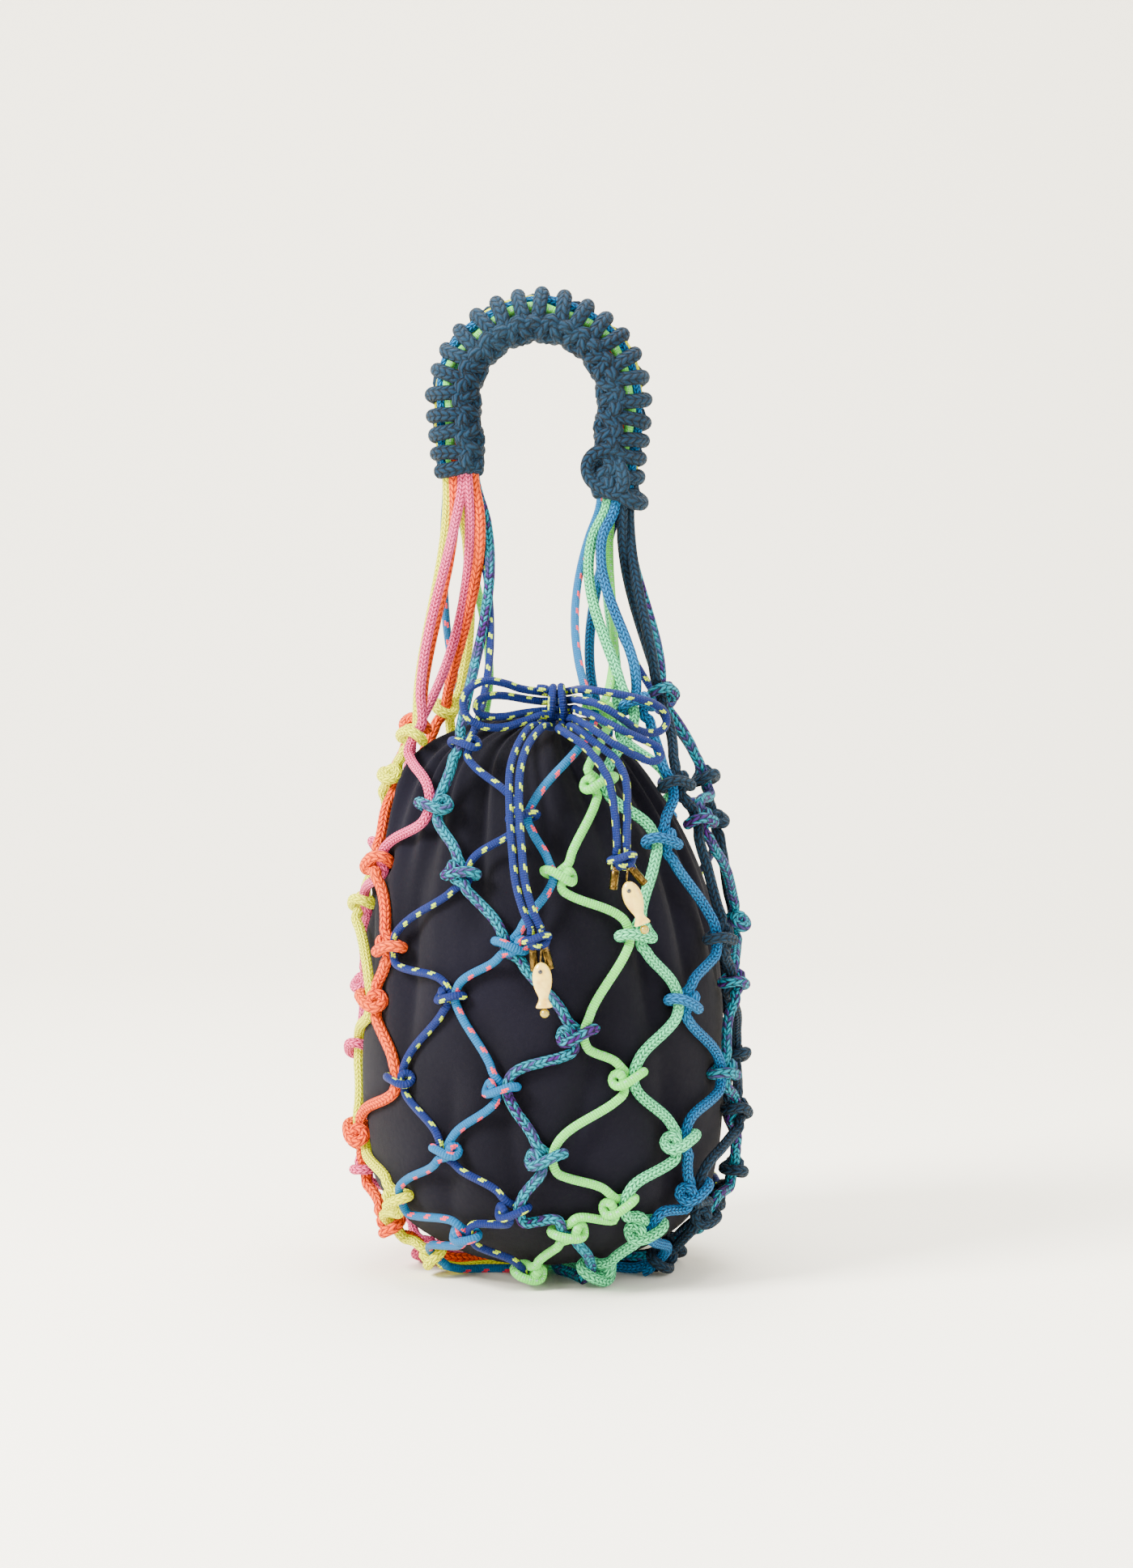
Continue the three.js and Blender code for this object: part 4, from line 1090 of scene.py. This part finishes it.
# The tails' knots, tips and charms
def lathe(profile, sides, top, lean, material, name, squeeze=1.0):
    """A turned piece hanging from its top, lean in degrees. profile holds (way down, radius)."""
    corners, faces, uvs = [], [], []
    ct, st = math.cos(math.radians(lean)), math.sin(math.radians(lean))
    n = len(profile)
    for down, radius in profile:
        for s in range(sides):
            a = 2 * math.pi * s / sides
            x, y = radius * math.cos(a), radius * math.sin(a) * squeeze
            corners.append((top[0] + x * ct + down * st, top[1] + y, top[2] + x * st - down * ct))
    for i in range(n - 1):
        v0, v1 = i / n, (i + 1) / n
        for s in range(sides):
            k = (s + 1) % sides
            u0, u1 = s / sides, (s + 1) / sides
            faces.append((i * sides + k, i * sides + s, (i + 1) * sides + s, (i + 1) * sides + k))
            uvs.append([(u1, v0), (u0, v0), (u0, v1), (u1, v1)])
    return mesh_piece(name, corners, faces, uvs, material)


def ball_profile(radius, parts):
    turns = np.linspace(0, math.pi, parts)
    return [(radius - radius * math.cos(a), 0.01 + radius * math.sin(a)) for a in turns]


TIP_PROFILE = [(0, 1.25), (0, 1.55), (0.25, 1.9)]
for groove in (1.2, 2.2, 8.6):
    TIP_PROFILE += [(groove - 0.25, 1.9), (groove, 1.72), (groove + 0.25, 1.9)]
TIP_PROFILE += [(10.2, 1.9), (10.5, 1.6), (10.5, 1.25), (6, 1.25), (5.9, 0.02)]
FISH_LENGTH = 20
FISH_PROFILE = [
    (share * FISH_LENGTH, radius)
    for share, radius in (
        (0, 0.1), (0.01, 0.9), (0.04, 2), (0.1, 3), (0.2, 3.95), (0.32, 4.3), (0.45, 4.25),
        (0.6, 3.5), (0.72, 2.4), (0.79, 1.9), (0.86, 2.4), (0.94, 3.5), (0.985, 3.7), (1, 3.2),
        (1, 0.1),
    )
]
FISH_FLATNESS = 0.58
EYE_RADIUS = 1.0
EYE_FLATNESS = 0.6
BEAD_RADIUS = 2.0
BEAD_GAP = 0.3
RING_RADIUS = 2.6
RING_WIRE = 0.45
RING_GAP = 0.3
RING_LEAN = 0.25
RING_DROP = 3.15
KNOT_STRAND_RADIUS = 1.75
KNOT_SIZE = 1.8
KNOT_STEP = 0.8
KNOT_PATHS = [
    [
        (-1.3, 1, -0.5), (0.2, -0.2, -1.3), (2.3, 0.1, -0.8), (2.9, 0.7, 0.4), (1.6, 0.9, 1.6),
        (-0.4, 0.2, 2), (-2.2, -0.4, 1.3), (-2.8, -0.6, 0), (-1.6, -0.2, -1.2), (-0.5, -1, -0.4),
        (-0.9, -2.2, -1.2),
    ],
    [
        (1.2, 1, 0.1), (0.4, 0, 0.4), (-0.9, -1, 1.3), (0.5, -1.7, 1.2), (2.2, -1, 0.6),
        (2.4, 0, -0.6), (1.2, -0.6, -1), (1.4, -2.2, -1.2),
    ],
]


def lean_down(degrees):
    return np.array([math.sin(math.radians(degrees)), 0, -math.cos(math.radians(degrees))])


# From each knot's centre: across, down and the lean of its two tips, then of its charm
DROPS = {"left": [(-1.6, 4, 4), (3.4, 3.5, 14)], "right": [(3.4, 3.5, 40), (-2.6, 3.5, -6)]}
CHARMS = {"left": (2, 4), "right": (2.2, 20)}
KNOT_DEPTH = 2.8
knot_pieces = {}
for side, (x, y, z) in TAIL_KNOTS.items():
    centre = np.array([x, y, z])
    tops = [centre + np.array([across, KNOT_DEPTH, -drop]) for across, drop, turn in DROPS[side]]
    lines = []
    for letter, path, top, drop in zip("ab", KNOT_PATHS, tops, DROPS[side]):
        points = [drawstring_lines[f"tail_{side}_{letter}"][-1]]
        points += [centre + np.array([px, -pz, py]) * KNOT_SIZE for px, py, pz in path]
        points += [top + np.array([0, 0, 0.6]), top + lean_down(drop[2]) * 3.0]
        lines.append(smooth_line(points, KNOT_STEP))
    radii = [KNOT_STRAND_RADIUS] * len(lines)
    knot = tube_piece(f"tail_knot_{side}_cord", lines, radii, THIN_SIDES, CORDS["blue_yellow"])
    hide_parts(f"tail_knot_{side}")
    knot_pieces[side] = [knot]
    for letter, top, drop in zip("ab", tops, DROPS[side]):
        tip = lathe(TIP_PROFILE, 24, top, drop[2], BRASS, f"brass_tip_{side}_{letter}")
        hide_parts(f"tip_{side}_{letter}")
        knot_pieces[side].append(tip)
    across, lean = CHARMS[side]
    half_ring = RING_RADIUS + RING_WIRE + RING_GAP
    ring_centre = centre + np.array([across, -KNOT_DEPTH, -RING_DROP - half_ring])
    turns = np.linspace(0, 2 * math.pi, 49)
    circle = [RING_LEAN * np.sin(turns), RING_RADIUS * np.cos(turns), RING_RADIUS * np.sin(turns)]
    circle = ring_centre + np.stack(circle, axis=1)
    ring = tube_piece(f"jump_ring_{side}", [circle], [RING_WIRE], 12, BRASS)
    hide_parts(f"charm_ring_{side}")
    top = ring_centre - np.array([0, 0, half_ring])
    fish = lathe(FISH_PROFILE, 32, top, lean, FISH_GLAZE, f"fish_charm_{side}", FISH_FLATNESS)
    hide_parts(f"fish_{side}")
    smooth = fish.modifiers.new("smooth", "SUBSURF")
    smooth.levels = smooth.render_levels = 1
    down = lean_down(lean)
    across = np.array([-down[2], 0, down[0]])
    eye_top = top + down * 4.0 - across * 0.6 + np.array([0, -2.15, EYE_RADIUS])
    eye_profile = ball_profile(EYE_RADIUS, 9)
    eye = lathe(eye_profile, 16, eye_top, 0, EYE_GLAZE, f"fish_eye_{side}", EYE_FLATNESS)
    bead_top = top + down * (FISH_LENGTH + BEAD_GAP)
    bead_profile = ball_profile(BEAD_RADIUS, 15)
    bead = lathe(bead_profile, 24, bead_top, lean, BEAD_GLAZE, f"round_bead_{side}")
    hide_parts(f"bead_{side}")
    knot_pieces[side] += [ring, fish, eye, bead]

# Floor, backdrop and light
def stage_material():
    n = Nodes("paper")
    grain = n.math("MULTIPLY", n.noise(scale=30.0, detail=2.0), 0.2)
    n.shade({
        "Base Color": n.mix(grain, linear((254, 248, 233)), linear((250, 243, 225))),
        "Roughness": 0.9,
    })
    return n.material


# From in front of the bag, in metres: flat, a bend up and a wall
BACKDROP_FRONT = -3.0
BACKDROP_BEND = 1.2
BACKDROP_BEND_RADIUS = 0.9
BACKDROP_TOP = 4.0
BACKDROP_HALF_WIDTH = 5.0
bend = [
    (BACKDROP_BEND + BACKDROP_BEND_RADIUS * math.sin(a), BACKDROP_BEND_RADIUS * (1 - math.cos(a)))
    for a in np.linspace(0, math.pi / 2, 14)
]
profile = [(BACKDROP_FRONT, 0.0), *bend, (BACKDROP_BEND + BACKDROP_BEND_RADIUS, BACKDROP_TOP)]
mesh = bpy.data.meshes.new("backdrop")
verts = [(x, y, z) for y, z in profile for x in (-BACKDROP_HALF_WIDTH, BACKDROP_HALF_WIDTH)]
faces = [(2 * i, 2 * i + 1, 2 * i + 3, 2 * i + 2) for i in range(len(profile) - 1)]
mesh.from_pydata(verts, [], faces)
mesh.polygons.foreach_set("use_smooth", [True] * len(mesh.polygons))
mesh.materials.append(stage_material())
backdrop = add_object("backdrop", mesh)


def area_light(name, location, aim, size, power, color=(1, 1, 1)):
    data = bpy.data.lights.new(name, "AREA")
    data.size = size
    data.energy = power
    data.color = color
    light = add_object(name, data)
    light.location = location
    light.rotation_euler = (Vector(aim) - Vector(location)).to_track_quat("-Z", "Y").to_euler()


LIT_POINT = (0, 0, 0.2)
area_light("key", (-1.55, -1.0, 1.5), LIT_POINT, size=0.8, power=205, color=(1, 0.985, 0.96))
area_light("fill", (1.5, -1.2, 0.9), LIT_POINT, size=1.4, power=28, color=(0.95, 0.98, 1))
area_light("top", (0.1, 0.3, 2.0), LIT_POINT, size=1.4, power=80)
world = bpy.data.worlds.new("world")
world.use_nodes = True
background = world.node_tree.nodes["Background"]
background.inputs["Color"].default_value = (1, 0.988, 0.962, 1)
background.inputs["Strength"].default_value = 1.6
bpy.context.scene.world = world
